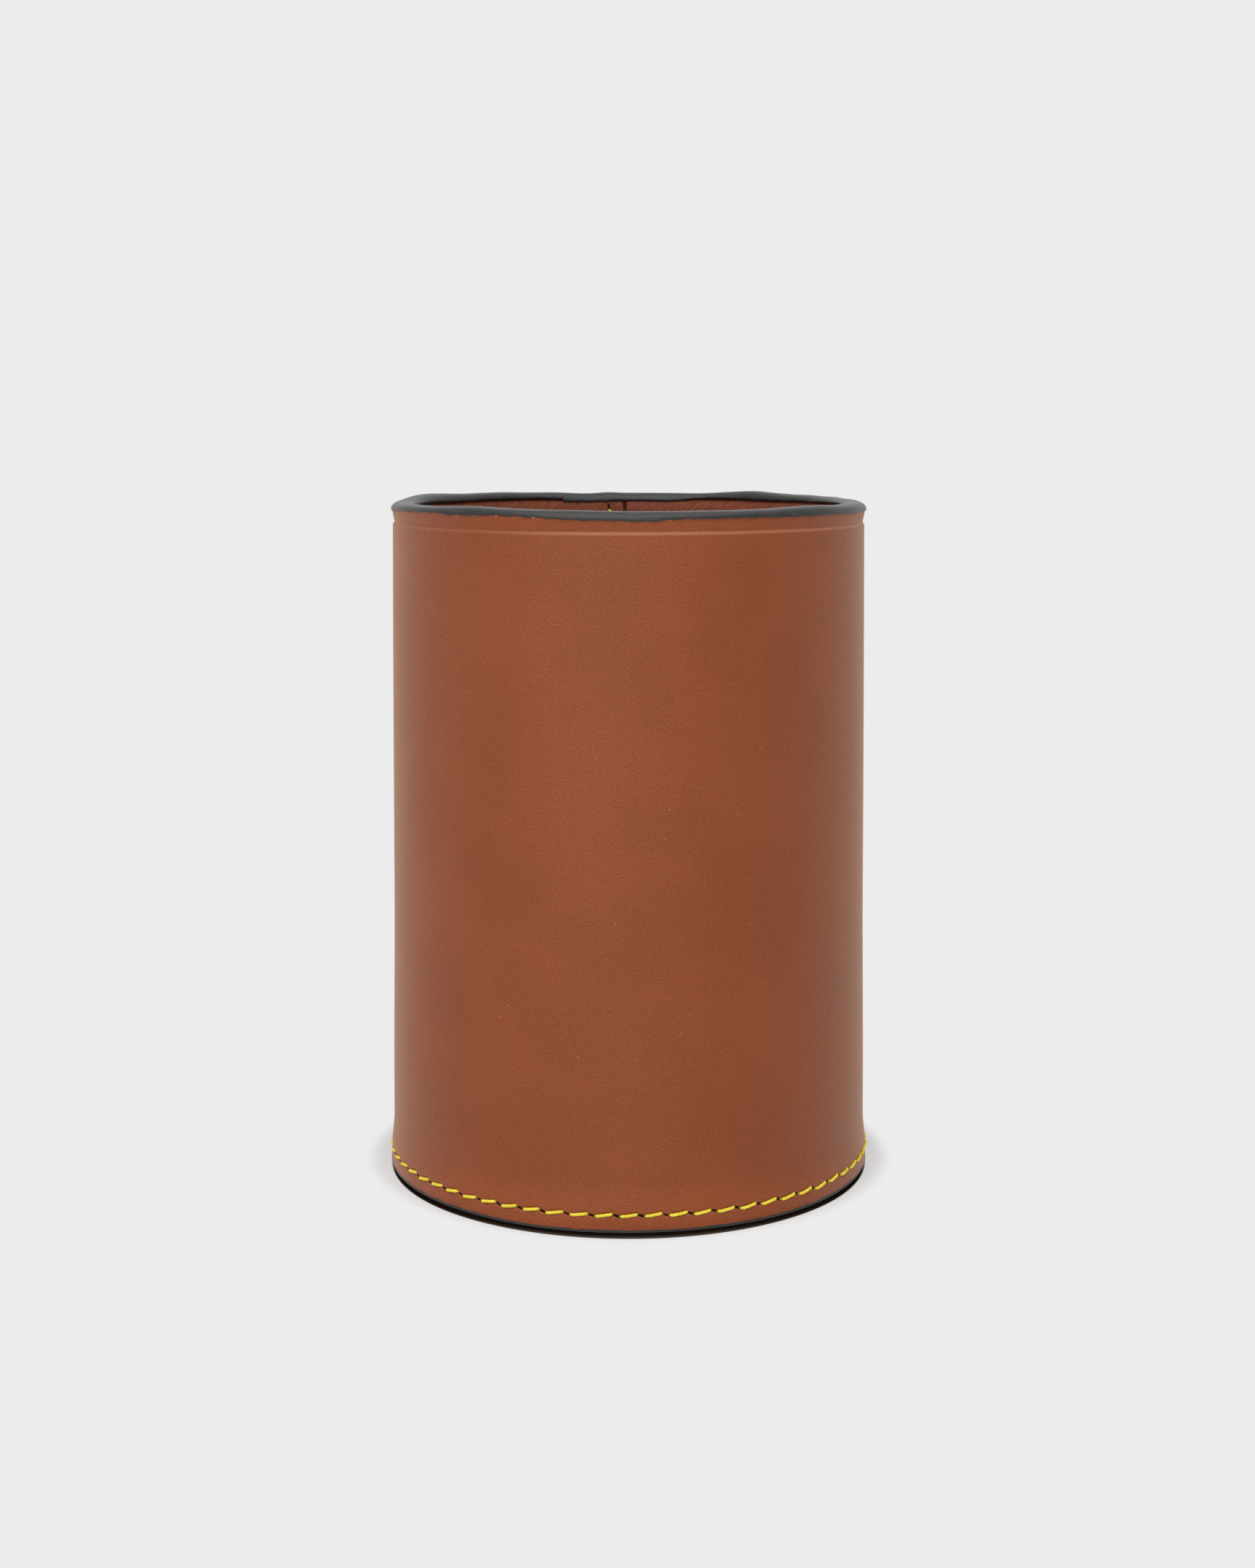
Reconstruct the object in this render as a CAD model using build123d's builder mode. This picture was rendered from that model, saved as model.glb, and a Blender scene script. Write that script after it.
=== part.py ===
from build123d import *
import os
from math import atan2, cos, degrees, floor, hypot, pi, radians, sin, sqrt

# Leather pen cup: a lined wall with a lapped and sewn back seam, a painted rim and a formed, sewn-in base.
# Millimetres, +Z up, with the origin in the middle of the ring that the cup rests on.
# The front faces -Y. Angles are in degrees, from +X towards +Y, so the back of the cup is at 90.

# Overall size
outer_diameter = 82.5
height = 114.3

# Leathers, and the film of glue between two layers
outer_leather = 2.0
lining_leather = 1.8
base_leather = 1.8
floor_leather = 1.2
glue_line = 0.1

# Edges: bevelled leather under a domed bead of edge paint at the rim, and a flat coat underneath
edge_bevel = 1.2
rim_paint = 0.4
rim_paint_bulge = 0.3
rim_dome_facets = 4
bottom_paint = 0.3

# Creased line under the rim
crease_below_rim = 3.5
crease_width = 0.7
crease_depth = 0.15

# Formed base, and the disc that lines the floor
base_height = 7.0
base_inner_bend = 1.2
floor_clearance = 0.3

# Sewing with a flattened waxed thread. Its runs rise to the right, and the awl slits between them fall to
# the right. Below the slit's depth the leather closes tightly round the thread, so it is left whole there.
thread_width = 0.62
thread_thickness = 0.42
stitch_pitch = 4.0
stitch_run = 3.0
stitch_slant = 8.8
slit_depth = 1.2
sewing_clearance = 0.05
base_row_height = 2.7

# Lapped back seam: the lining's ends meet at one angle, and the outer panel's a lap further round
lining_seam_angle = 91.1
lining_seam_gap = 0.7
outer_seam_gap = 0.15
seam_lap = 11.5
seam_row_inset = 3.0
seam_row_below_rim = 2.4
seam_row_above_floor = 1.5

# Radii, from the outside inwards
outer_radius = outer_diameter / 2
outer_back = outer_radius - outer_leather
lining_back = outer_back - glue_line
lining_face = lining_back - lining_leather
base_radius = lining_face - glue_line
base_face = base_radius - base_leather
rim_middle = (outer_radius + lining_face) / 2

# The base's bend, as wide on its outside as a layer round the inside bend makes it
base_outer_bend = base_inner_bend + base_leather * (2 - sqrt(2))

# Heights, from the table upwards
floor_top = base_height + floor_leather
crease_level = height - crease_below_rim
leather_top = height - rim_paint
bevel_foot = leather_top - edge_bevel
lip_level = bevel_foot + rim_paint_bulge

# One stitch: its two legs go down into the slits on either side of it
leg_reach = (stitch_run - thread_thickness) / 2
leg_along = leg_reach * cos(radians(stitch_slant))
leg_up = leg_reach * sin(radians(stitch_slant))
leg_depth = slit_depth - sewing_clearance
run_height = thread_thickness / 2 + sewing_clearance

# One slit, from the end of one stitch to the start of the next
slit_slant = degrees(atan2(leg_up, stitch_pitch / 2 - leg_along))
slit_length = 2 * hypot(stitch_pitch / 2 - leg_along, leg_up) + thread_width
slit_width = thread_width + 4 * sewing_clearance

# The row round the base, and the row up the back seam
base_stitch_count = round(pi * outer_diameter / stitch_pitch)
base_stitch_step = 360 / base_stitch_count
outer_seam_angle = lining_seam_angle + degrees(seam_lap / outer_back)
seam_row_angle = lining_seam_angle + degrees(seam_row_inset / lining_face)
seam_row_top = height - seam_row_below_rim
seam_stitch_count = floor((seam_row_top - floor_top - seam_row_above_floor) / stitch_pitch)


def radial_plane(angle):
    """Upright plane through the axis: x leads away from the axis at this angle, and y leads up."""
    out = Vector(1, 0, 0).rotate(Axis.Z, angle)
    return Plane(origin=(0, 0, 0), x_dir=out, z_dir=out.rotate(Axis.Z, -90))


def wall_plane(radius, angle, level, lean, outwards=1):
    """Plane that touches the wall: z faces outwards (inwards at -1), and x leans up from level by lean."""
    out = Vector(1, 0, 0).rotate(Axis.Z, angle)
    along = out.rotate(Axis.Z, 90)
    x_dir = along * cos(radians(lean)) + Vector(0, 0, 1) * sin(radians(lean))
    return Plane(origin=out * radius + Vector(0, 0, level), x_dir=x_dir, z_dir=out * outwards)


def base_row(radius, lean, start=0.0, outwards=1):
    """Planes round the base from the front, of its stitches, or of its slits at a start of half a step."""
    angles = [-90 + base_stitch_step * (i + start) for i in range(base_stitch_count)]
    return [wall_plane(radius, angle, base_row_height, lean, outwards) for angle in angles]


def seam_row(radius, lean, count, start=0.0, outwards=1):
    """Planes down the back seam from its top slit, of its slits, or of its stitches at half a step."""
    levels = [seam_row_top - stitch_pitch * (i + start) for i in range(count)]
    return [wall_plane(radius, seam_row_angle, level, 90 + lean, outwards) for level in levels]


def slits(planes):
    """Outlines of awl slits, a little outside the face into which they are cut."""
    with BuildSketch(*[plane.offset(sewing_clearance) for plane in planes]) as outlines:
        Rectangle(slit_length, slit_width)
    return outlines.sketch


def dome_corners():
    """Corners of the rim bead's dome, from its outer lip over the top to its inner lip."""
    half_width = outer_radius - rim_middle + rim_paint_bulge
    rise = height - lip_level
    turns = [pi * i / rim_dome_facets for i in range(rim_dome_facets + 1)]
    return [(rim_middle + half_width * cos(turn), lip_level + rise * sin(turn)) for turn in turns]


def panel_section(back, face, seam_angle, seam_gap):
    """Section of a wall panel, bevelled at the rim, on the plane from which it is rolled round."""
    with BuildSketch(radial_plane(seam_angle + degrees(seam_gap / face) / 2)) as section:
        with Locations(((back + face) / 2, (leather_top + bottom_paint) / 2)):
            Rectangle(abs(face - back), leather_top - bottom_paint)
        rim_corners = section.vertices().group_by(Axis.Y)[-1].sort_by(Axis.X)
        chamfer(rim_corners[-1] if face > back else rim_corners[0], edge_bevel)
    return section.sketch


# Outer panel: rolled, creased under the rim, and pricked for both rows
with BuildPart() as outer_wall:
    revolve(
        panel_section(outer_back, outer_radius, outer_seam_angle, outer_seam_gap),
        Axis.Z,
        360 - degrees(outer_seam_gap / outer_radius),
    )
    with BuildSketch(Plane.XZ):
        with Locations((outer_radius, crease_level)):
            Polygon(
                (0, crease_width / 2),
                (-crease_depth, 0),
                (0, -crease_width / 2),
                (crease_depth, 0),
                align=None,
            )
    revolve(axis=Axis.Z, mode=Mode.SUBTRACT)
    base_slits = slits(base_row(outer_radius, -slit_slant, 0.5))
    seam_slits = slits(seam_row(outer_radius, -slit_slant, seam_stitch_count + 1))
    for outlines in (base_slits, seam_slits):
        extrude(outlines, -slit_depth - sewing_clearance, mode=Mode.SUBTRACT)
outer_wall.part.label = "outer_wall"

# Lining panel: its ends leave an open gap inside the cup, beside the row that sews the lap
with BuildPart() as lining_wall:
    revolve(
        panel_section(lining_back, lining_face, lining_seam_angle, lining_seam_gap),
        Axis.Z,
        360 - degrees(lining_seam_gap / lining_face),
    )
lining_wall.part.label = "lining_wall"

# Edge paint on the rim: a bead domed over both bevels, with a small lip where it ends on either face
with BuildPart() as rim_edge_coat:
    with BuildSketch(Plane.XZ):
        with BuildLine():
            Polyline(
                *dome_corners(),
                (lining_face, bevel_foot),
                (lining_face + edge_bevel, leather_top),
                (outer_radius - edge_bevel, leather_top),
                (outer_radius, bevel_foot),
                close=True,
            )
        make_face()
    revolve(axis=Axis.Z)
rim_edge_coat.part.label = "rim_edge_coat"

# Edge paint under all three layers, which is what the cup rests on
with BuildPart() as bottom_edge_coat:
    with BuildSketch():
        Circle(outer_radius)
        Circle(base_face, mode=Mode.SUBTRACT)
    extrude(amount=bottom_paint)
bottom_edge_coat.part.label = "bottom_edge_coat"

# Base: wet-formed over a block, so that its edge turns down inside the wall and can be sewn to it
with BuildPart() as formed_base:
    with BuildSketch(Plane.XY.offset(bottom_paint)):
        Circle(base_radius)
    extrude(amount=base_height - bottom_paint)
    chamfer(formed_base.edges().group_by(Axis.Z)[-1], base_outer_bend)
    offset(amount=-base_leather, openings=formed_base.faces().sort_by(Axis.Z)[0])
formed_base.part.label = "formed_base"

# Disc that lines the floor
with BuildPart() as floor_lining:
    with BuildSketch(Plane.XY.offset(base_height)):
        Circle(lining_face - floor_clearance)
    extrude(amount=floor_leather)
floor_lining.part.label = "floor_lining"

# One stitch, along X with Z out of the leather: a run with a leg down into the slit at either end
with BuildPart() as stitch:
    with BuildLine(Plane.XZ):
        Polyline(
            (-leg_reach, -leg_depth),
            (-leg_reach, run_height),
            (leg_reach, run_height),
            (leg_reach, -leg_depth),
        )
    with BuildSketch(Plane.XY.offset(-leg_depth)):
        with Locations((-leg_reach, 0)):
            Rectangle(thread_thickness, thread_width)
    sweep(transition=Transition.RIGHT)

# The same thread where it crosses the inside, where the leather has closed over its legs
with BuildPart() as back_run:
    with BuildSketch(Plane.XY.offset(sewing_clearance)):
        Rectangle(stitch_run, thread_width)
    extrude(amount=thread_thickness)

# Sewn row round the base
with BuildPart() as base_thread:
    with Locations(*base_row(outer_radius, stitch_slant)):
        add(stitch.part)
    with Locations(*base_row(base_face, stitch_slant, outwards=-1)):
        add(back_run.part)
base_thread.part.label = "base_thread"

# Sewn row down the lap at the back
with BuildPart() as seam_thread:
    with Locations(*seam_row(outer_radius, stitch_slant, seam_stitch_count, 0.5)):
        add(stitch.part)
    with Locations(*seam_row(lining_face, stitch_slant, seam_stitch_count, 0.5, outwards=-1)):
        add(back_run.part)
seam_thread.part.label = "seam_thread"

os.makedirs("parts", exist_ok=True)
for piece in (
    outer_wall,
    lining_wall,
    rim_edge_coat,
    bottom_edge_coat,
    formed_base,
    floor_lining,
    base_thread,
    seam_thread,
):
    export_step(piece.part, f"parts/{piece.part.label}.step")
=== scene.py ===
"""A leather pen cup in its studio: the finish of every visible surface, in metres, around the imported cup.

The cup stands on z = 0 with its axis on z, and its front faces -Y. Angles run from +X towards +Y, in radians
in the code and in degrees where a name says so. Finishes lie on flat sheets that are measured in millimetres.
"""

import logging
import math
from abc import ABC, abstractmethod
from collections.abc import Callable, Sequence
from dataclasses import dataclass
from enum import Enum

import bmesh
import bpy
import numpy as np
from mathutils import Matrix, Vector

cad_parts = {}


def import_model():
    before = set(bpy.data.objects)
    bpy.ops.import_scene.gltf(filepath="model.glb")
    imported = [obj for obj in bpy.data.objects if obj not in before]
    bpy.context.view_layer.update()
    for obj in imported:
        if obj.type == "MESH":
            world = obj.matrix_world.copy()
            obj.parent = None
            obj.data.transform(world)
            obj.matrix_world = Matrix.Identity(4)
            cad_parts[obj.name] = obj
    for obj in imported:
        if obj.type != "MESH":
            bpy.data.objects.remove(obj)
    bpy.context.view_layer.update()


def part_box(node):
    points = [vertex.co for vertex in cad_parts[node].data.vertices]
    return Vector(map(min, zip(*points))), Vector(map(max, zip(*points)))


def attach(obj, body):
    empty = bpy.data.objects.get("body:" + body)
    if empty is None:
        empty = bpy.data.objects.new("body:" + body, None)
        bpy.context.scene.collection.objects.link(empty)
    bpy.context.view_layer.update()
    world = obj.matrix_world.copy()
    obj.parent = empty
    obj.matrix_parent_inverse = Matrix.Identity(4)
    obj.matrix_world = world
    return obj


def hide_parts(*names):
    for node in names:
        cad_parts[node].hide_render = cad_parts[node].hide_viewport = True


log = logging.getLogger("pen_cup")

MM = 0.001
TURN = 2 * math.pi
BODY = "root"

# The cup's leathers and its lining's open seam, which several pieces share
OUTER_LEATHER = 2.0 * MM
LINING_LEATHER = 1.8 * MM
BASE_LEATHER = 1.8 * MM
LINING_SEAM_DEG = 91.1

# How far from its face's radius a point still lies on that face, before the face is shaped
FACE_REACH = 0.2 * MM
HAIR = 0.01 * MM

# How close two points are that are one
SAME_POINT = 1e-7

# An open panel's share of its bake map, and the middles and half sizes of its two end caps on it
PANEL_WIDTH = 0.97
CAP_MIDDLES = (0.98, 0.993)
CAP_SIZE = (0.005, 0.4)

Colour = tuple[float, float, float]
Place = tuple[float, float, float]
Span = tuple[float, float]
Corner = tuple[float, float]
Number = float | int
Inputs = dict[str | int, object]


def step(value: np.ndarray, low: float, high: float) -> np.ndarray:
    """Returns a smooth rise from 0 at low to 1 at high, or the fall where low is the larger."""
    share = np.clip((value - low) / (high - low), 0, 1)
    return share * share * (3 - 2 * share)


def hump(value: np.ndarray, width: float) -> np.ndarray:
    """Returns a bell of height 1 round 0, which falls to about a third at width."""
    return np.exp(-((value / width) ** 2))


def linear_level(level: int) -> float:
    """Returns the scene's share of one display level, which is given from 0 to 255."""
    share = level / 255
    return share / 12.92 if share <= 0.04045 else ((share + 0.055) / 1.055) ** 2.4


def linear(red: int, green: int, blue: int) -> Colour:
    """Returns the scene colour of a display colour that is given from 0 to 255."""
    return (linear_level(red), linear_level(green), linear_level(blue))


class Side(Enum):
    """Which way a face of the wall looks: away from the cup's axis, or towards it."""

    OUTSIDE = 1
    INSIDE = -1


class Run(Enum):
    """Which way a sewn row runs."""

    ROUND = "round the cup"
    UPRIGHT = "up the wall"


@dataclass(frozen=True)
class Socket:
    """A shader socket that takes part in Python arithmetic.

    Values go through Math nodes, and vectors through Vector Math nodes.
    """

    graph: "Graph"
    plug: bpy.types.NodeSocket

    def _with(self, operation: str, other: "Socket | Number", reflected: bool = False) -> "Socket":
        """Adds the node of one operation.

        Args:
            operation: what the node does.
            other: what it takes together with this socket.
            reflected: True where the other stands first.

        Returns:
            The result.
        """
        pair = (other, self) if reflected else (self, other)
        if not any(isinstance(s, Socket) and s.plug.type == "VECTOR" for s in pair):
            return self.graph.node("Math", {"operation": operation}, {0: pair[0], 1: pair[1]})
        spread = [s if isinstance(s, Socket) else (s, s, s) for s in pair]
        return self.graph.node("VectorMath", {"operation": operation}, {0: spread[0], 1: spread[1]})

    def __add__(self, other: "Socket | Number") -> "Socket":
        """Returns the sum."""
        return self._with("ADD", other)

    def __radd__(self, other: Number) -> "Socket":
        """Returns the sum, with the number first."""
        return self._with("ADD", other, reflected=True)

    def __sub__(self, other: "Socket | Number") -> "Socket":
        """Returns the difference."""
        return self._with("SUBTRACT", other)

    def __rsub__(self, other: Number) -> "Socket":
        """Returns the number less this."""
        return self._with("SUBTRACT", other, reflected=True)

    def __mul__(self, other: "Socket | Number") -> "Socket":
        """Returns the product."""
        return self._with("MULTIPLY", other)

    def __rmul__(self, other: Number) -> "Socket":
        """Returns the product, with the number first."""
        return self._with("MULTIPLY", other, reflected=True)

    def rise(self, low: float, high: float) -> "Socket":
        """Returns a smooth rise from 0 at low to 1 at high."""
        settings = {"interpolation_type": "SMOOTHSTEP"}
        return self.graph.node("MapRange", settings, {0: self, 1: low, 2: high, 3: 0.0, 4: 1.0})

    def larger(self, other: "Socket | Number") -> "Socket":
        """Returns the larger of the two."""
        return self._with("MAXIMUM", other)


class Graph:
    """The node tree of one material or world, and the calls that add to it."""

    def __init__(self, owner: bpy.types.ID) -> None:
        """Empties the owner's node tree.

        Args:
            owner: the material or world that is to be built.
        """
        owner.use_nodes = True
        self.tree = owner.node_tree
        self.tree.nodes.clear()

    def node(
        self,
        kind: str,
        settings: dict[str, object] | None = None,
        inputs: Inputs | None = None,
        output: str | int = 0,
    ) -> Socket:
        """Adds one node.

        Args:
            kind: the node's type, without its ShaderNode prefix.
            settings: what is set on the node before its sockets.
            inputs: values or sockets, by the input's name or number.
            output: the output that is wanted.

        Returns:
            The wanted output, or the first input of a node without outputs.
        """
        made = self.tree.nodes.new("ShaderNode" + kind)
        for key, value in (settings or {}).items():
            setattr(made, key, value)
        for key, value in (inputs or {}).items():
            plug = made.inputs[key]
            if isinstance(value, Socket):
                self.tree.links.new(value.plug, plug)
            elif plug.type == "RGBA":
                plug.default_value = (*value, 1.0)
            else:
                plug.default_value = value
        return Socket(self, made.outputs[output]) if made.outputs else Socket(self, made.inputs[0])

    def mix(self, share: Socket | float, first: Socket | Colour, second: Socket | Colour) -> Socket:
        """Returns the first colour at a share of 0, and the second at 1."""
        settings = {"data_type": "RGBA", "clamp_factor": True}
        return self.node("Mix", settings, {0: share, 6: first, 7: second}, 2)

    def tint(self, colour: Socket, by: Socket) -> Socket:
        """Returns the colour made lighter or darker by a factor."""
        return self.node("VectorMath", {"operation": "SCALE"}, {0: colour, 3: by})

    def stretched(self, place: Socket, turn_deg: float, scale: Place) -> Socket:
        """Turns and scales a place, for streaks.

        Args:
            place: the place.
            turn_deg: how far it is turned about z.
            scale: how much it is scaled along each axis after that.

        Returns:
            The new place.
        """
        turn = {"Vector": place, "Angle": math.radians(turn_deg)}
        turned = self.node("VectorRotate", {"rotation_type": "Z_AXIS"}, turn)
        return self.node("VectorMath", {"operation": "MULTIPLY"}, {0: turned, 1: scale})

    def bump(self, height: Socket, depth: float, under: Socket | None = None) -> Socket:
        """Raises the surface's normal.

        Args:
            height: how high each place is, from 0 to 1.
            depth: what a height of 1 is, in metres.
            under: a normal that is raised already.

        Returns:
            The new normal.
        """
        inputs: Inputs = {"Height": height, "Strength": 1.0, "Distance": depth}
        if under is not None:
            inputs["Normal"] = under
        return self.node("Bump", None, inputs)

    def hide_place(self) -> Socket:
        """Returns the place on the sheet that a piece was cut from, in millimetres along and up."""
        return self.node("Attribute", {"attribute_name": Mesh.PLACE}, None, "Vector")

    def below_paint(self) -> Socket:
        """Returns how far below the paint's border on the rim the surface is, in millimetres."""
        return self.node("Attribute", {"attribute_name": Mesh.BELOW_PAINT}, None, "Fac")

    def sunk_shade(self) -> Socket:
        """Returns how deep the surface is pressed in, which the finish paints dark: painted shade in an awl
        slit and along a stitch's bed, and the dark cut edge at a seam; 0 on the open face.
        """
        return self.node("Attribute", {"attribute_name": Mesh.SUNK_SHADE}, None, "Fac")

    def surface(self, inputs: Inputs) -> None:
        """Ends the material in a Principled shader with these inputs."""
        shader = self.node("BsdfPrincipled", None, inputs)
        self.node("OutputMaterial", None, {"Surface": shader})


@dataclass(frozen=True)
class Pattern:
    """Soft noise in a finish, which may be turned and drawn out into streaks.

    Attributes:
        scale: how many blotches there are to a millimetre.
        detail, roughness: how many finer layers they have, and how strong those are.
        turn_deg, stretch: how far streaks are turned, and how many there are to a millimetre each way.
    """

    scale: float
    detail: float = 2.0
    roughness: float = 0.5
    turn_deg: float = 0.0
    stretch: Place | None = None

    def on(self, place: Socket, output: int = 0) -> Socket:
        """Lays the pattern on a sheet.

        Args:
            place: the place on the sheet.
            output: 0 for one value from 0 to 1, or 1 for three.

        Returns:
            The pattern at that place.
        """
        if self.stretch is not None:
            place = place.graph.stretched(place, self.turn_deg, self.stretch)
        inputs = {"Vector": place, "Scale": self.scale, "Detail": self.detail, "Roughness": self.roughness}
        return place.graph.node("TexNoise", None, inputs, output)


@dataclass(frozen=True)
class Layer:
    """A colour that comes in over a finish as a pattern rises through a span, up to a share of it."""

    colour: Colour
    span: Span
    share: float = 1.0

    def over(self, tone: Socket | Colour, pattern: Socket) -> Socket:
        """Returns the tone with this layer over it."""
        strength = pattern.rise(*self.span)
        return pattern.graph.mix(strength if self.share == 1 else strength * self.share, tone, self.colour)


@dataclass(frozen=True)
class Ripple:
    """Seamless unevenness round a ring, as a seeded sum of waves.

    Attributes:
        seed: picks the waves.
        turns: the fewest and the most waves round the ring.
        size: how large it is, about.
        climb: how fast a wave may turn with height, in radians a metre.
        waves: how many are added.
    """

    seed: int
    turns: tuple[int, int]
    size: float
    climb: float = 0.0
    waves: int = 20

    def at(self, angle: np.ndarray, level: np.ndarray | float = 0.0) -> np.ndarray:
        """Adds up the waves.

        Args:
            angle: where each place is round the ring.
            level: how high it is.

        Returns:
            The unevenness at each place.
        """
        rng = np.random.default_rng(self.seed)
        counts = rng.integers(self.turns[0], self.turns[1] + 1, self.waves)
        climbs = rng.uniform(-self.climb, self.climb, self.waves)
        phases = rng.uniform(0, TURN, self.waves)
        total = np.zeros(np.broadcast(angle, level).shape)
        for count, climb, phase in zip(counts, climbs, phases, strict=True):
            total += np.cos(count * angle + climb * level + phase)
        return total / math.sqrt(self.waves / 2) * self.size


@dataclass(frozen=True)
class Wave:
    """One rise or dip in a hand-made edge, with half of its width."""

    angle_deg: float
    width_deg: float
    rise: float

    def at(self, angle: np.ndarray) -> np.ndarray:
        """Returns how far the edge rises at each angle."""
        off = (angle - math.radians(self.angle_deg) + math.pi) % TURN - math.pi
        return self.rise * hump(off, math.radians(self.width_deg))


class Mesh:
    """A piece's mesh while it is built: points, faces and what the finish reads from them."""

    PLACE = "hide_place"
    # The mask by which the finish paints shade in slits and along stitches
    SUNK_SHADE = "sunk_shade"
    BELOW_PAINT = "below_paint"
    BAKE_MAP = "OFBake"

    def __init__(self, name: str, points: np.ndarray, faces: list[list[int]], corners: np.ndarray) -> None:
        """Makes the mesh and its object.

        Args:
            name: the piece's name.
            points: one row of x, y and z for each point.
            faces: the points of each face, counter-clockwise from outside.
            corners: where each corner of each face lies on the map that the finish is baked to.
        """
        self.data = bpy.data.meshes.new(name)
        self.data.from_pydata(points.tolist(), [], faces)
        self.data.uv_layers.new(name=self.BAKE_MAP).data.foreach_set("uv", corners.ravel())
        self.object = bpy.data.objects.new(name, self.data)
        bpy.context.scene.collection.objects.link(self.object)

    @property
    def points(self) -> np.ndarray:
        """Reads the points.

        Returns:
            One row of x, y and z for each point.
        """
        flat = np.empty(len(self.data.vertices) * 3, np.float32)
        self.data.vertices.foreach_get("co", flat)
        return flat.reshape(-1, 3).astype(float)

    @points.setter
    def points(self, points: np.ndarray) -> None:
        """Moves the points to new places, one row each."""
        self.data.vertices.foreach_set("co", points.astype(np.float32).ravel())

    def refine(self, wanted: Callable[[int, np.ndarray], np.ndarray], levels: int) -> None:
        """Halves the faces of some regions, once for each level.

        Args:
            wanted: given the level, from 0, and the middles of the faces, says which are halved.
            levels: how many times that is done.
        """
        grid = bmesh.new()
        grid.from_mesh(self.data)
        for level in range(levels):
            middles = np.array([f.calc_center_median() for f in grid.faces])
            picked = wanted(level, middles)
            edges = {e for f, pick in zip(grid.faces, picked, strict=True) if pick for e in f.edges}
            bmesh.ops.subdivide_edges(grid, edges=list(edges), cuts=1, use_grid_fill=True)
        grid.to_mesh(self.data)
        grid.free()

    def give(self, name: str, values: np.ndarray) -> None:
        """Keeps what the finish reads at each point.

        Args:
            name: what it is called.
            values: one value, or a row of three, for each point.
        """
        if values.ndim == 2:
            self.data.attributes.new(name, "FLOAT_VECTOR", "POINT").data.foreach_set("vector", values.ravel())
        else:
            self.data.attributes.new(name, "FLOAT", "POINT").data.foreach_set("value", values)

    def finish(
        self, material: bpy.types.Material, slot: str, stands_for: str, sharp_deg: float = 50
    ) -> "Mesh":
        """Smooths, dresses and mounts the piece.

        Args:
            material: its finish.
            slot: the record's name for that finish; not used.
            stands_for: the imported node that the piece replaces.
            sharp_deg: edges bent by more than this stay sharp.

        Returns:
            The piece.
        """
        self.data.update()
        self.data.validate()
        self.data.shade_smooth()
        self.data.set_sharp_from_angle(angle=math.radians(sharp_deg))
        self.data.materials.append(material)
        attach(self.object, BODY)
        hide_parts(stands_for)
        return self


def polar(radius: np.ndarray | float, angle: np.ndarray | float, level: np.ndarray | float) -> np.ndarray:
    """Returns points, one row each, from their radius, angle and level."""
    radius, angle, level = np.broadcast_arrays(radius, angle, level)
    return np.stack([radius * np.cos(angle), radius * np.sin(angle), level], -1).reshape(-1, 3)


def cylindrical(points: np.ndarray) -> tuple[np.ndarray, np.ndarray, np.ndarray]:
    """Returns the radius, the angle and the level of each point."""
    x, y, level = points.T
    return np.hypot(x, y), np.arctan2(y, x), level


def all_round(columns: int) -> np.ndarray:
    """Returns the angles of a number of columns, evenly round the axis."""
    return np.linspace(0, TURN, columns, endpoint=False)


def rounded(radius: float, level: float, size: float, count: int) -> list[Corner]:
    """Returns a rounded corner from its side up to its top, as pairs of radius and level."""
    turns = np.linspace(0, math.pi / 2, count)
    return [(radius - size * (1 - math.cos(t)), level - size * (1 - math.sin(t))) for t in turns]


def shares(section: np.ndarray, weight: np.ndarray | float = 1.0) -> np.ndarray:
    """Measures round a closed section.

    Args:
        section: its corners as rows of radius and level.
        weight: how much room each of its sides gets on the bake map, for its length.

    Returns:
        How far round each corner is, from 0 to 1, and then 1 for the first corner again.
    """
    run = np.linalg.norm(np.roll(section, -1, 0) - section, axis=1) * weight
    return np.concatenate([[0], np.cumsum(run)]) / run.sum()


def ring_faces(columns: int, share: np.ndarray, whole: bool) -> tuple[list[list[int]], np.ndarray]:
    """Joins sections that stand side by side round the axis.

    Args:
        columns: how many sections there are.
        share: how far round the section each corner is, as shares gives it.
        whole: True to close the ring, False to cap its two ends.

    Returns:
        The faces, and their corners on the bake map.
    """
    rows = len(share) - 1
    spans = columns if whole else columns - 1
    wide = 1.0 if whole else PANEL_WIDTH
    faces, corners = [], []
    for j in range(spans):
        here, there = j * rows, (j + 1) % columns * rows
        left, right = wide * j / spans, wide * (j + 1) / spans
        for i in range(rows):
            k = (i + 1) % rows
            faces.append([here + i, there + i, there + k, here + k])
            corners += [(left, share[i]), (right, share[i]), (right, share[i + 1]), (left, share[i + 1])]
    if not whole:
        faces.append(list(range(rows)))
        faces.append([(columns - 1) * rows + i for i in reversed(range(rows))])
        for middle, order in zip(CAP_MIDDLES, (range(rows), reversed(range(rows))), strict=True):
            turns = [TURN * i / rows for i in order]
            corners += [(middle + CAP_SIZE[0] * math.cos(t), 0.5 + CAP_SIZE[1] * math.sin(t)) for t in turns]
    return faces, np.array(corners)


def rolled(
    section: np.ndarray, angles: np.ndarray, whole: bool, weight: np.ndarray | float = 1.0
) -> tuple[np.ndarray, list[list[int]], np.ndarray]:
    """Rolls a closed section round the axis.

    Args:
        section: its corners as rows of radius and level, counter-clockwise seen with the radius to the right.
        angles: where the section is set down.
        whole: True to close the ring, False to cap its two ends.
        weight: how much room each of its sides gets on the bake map, for its length.

    Returns:
        The points, the faces, and the faces' corners on the bake map.
    """
    points = polar(section[None, :, 0], angles[:, None], section[None, :, 1])
    return points, *ring_faces(len(angles), shares(section, weight), whole)


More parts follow.
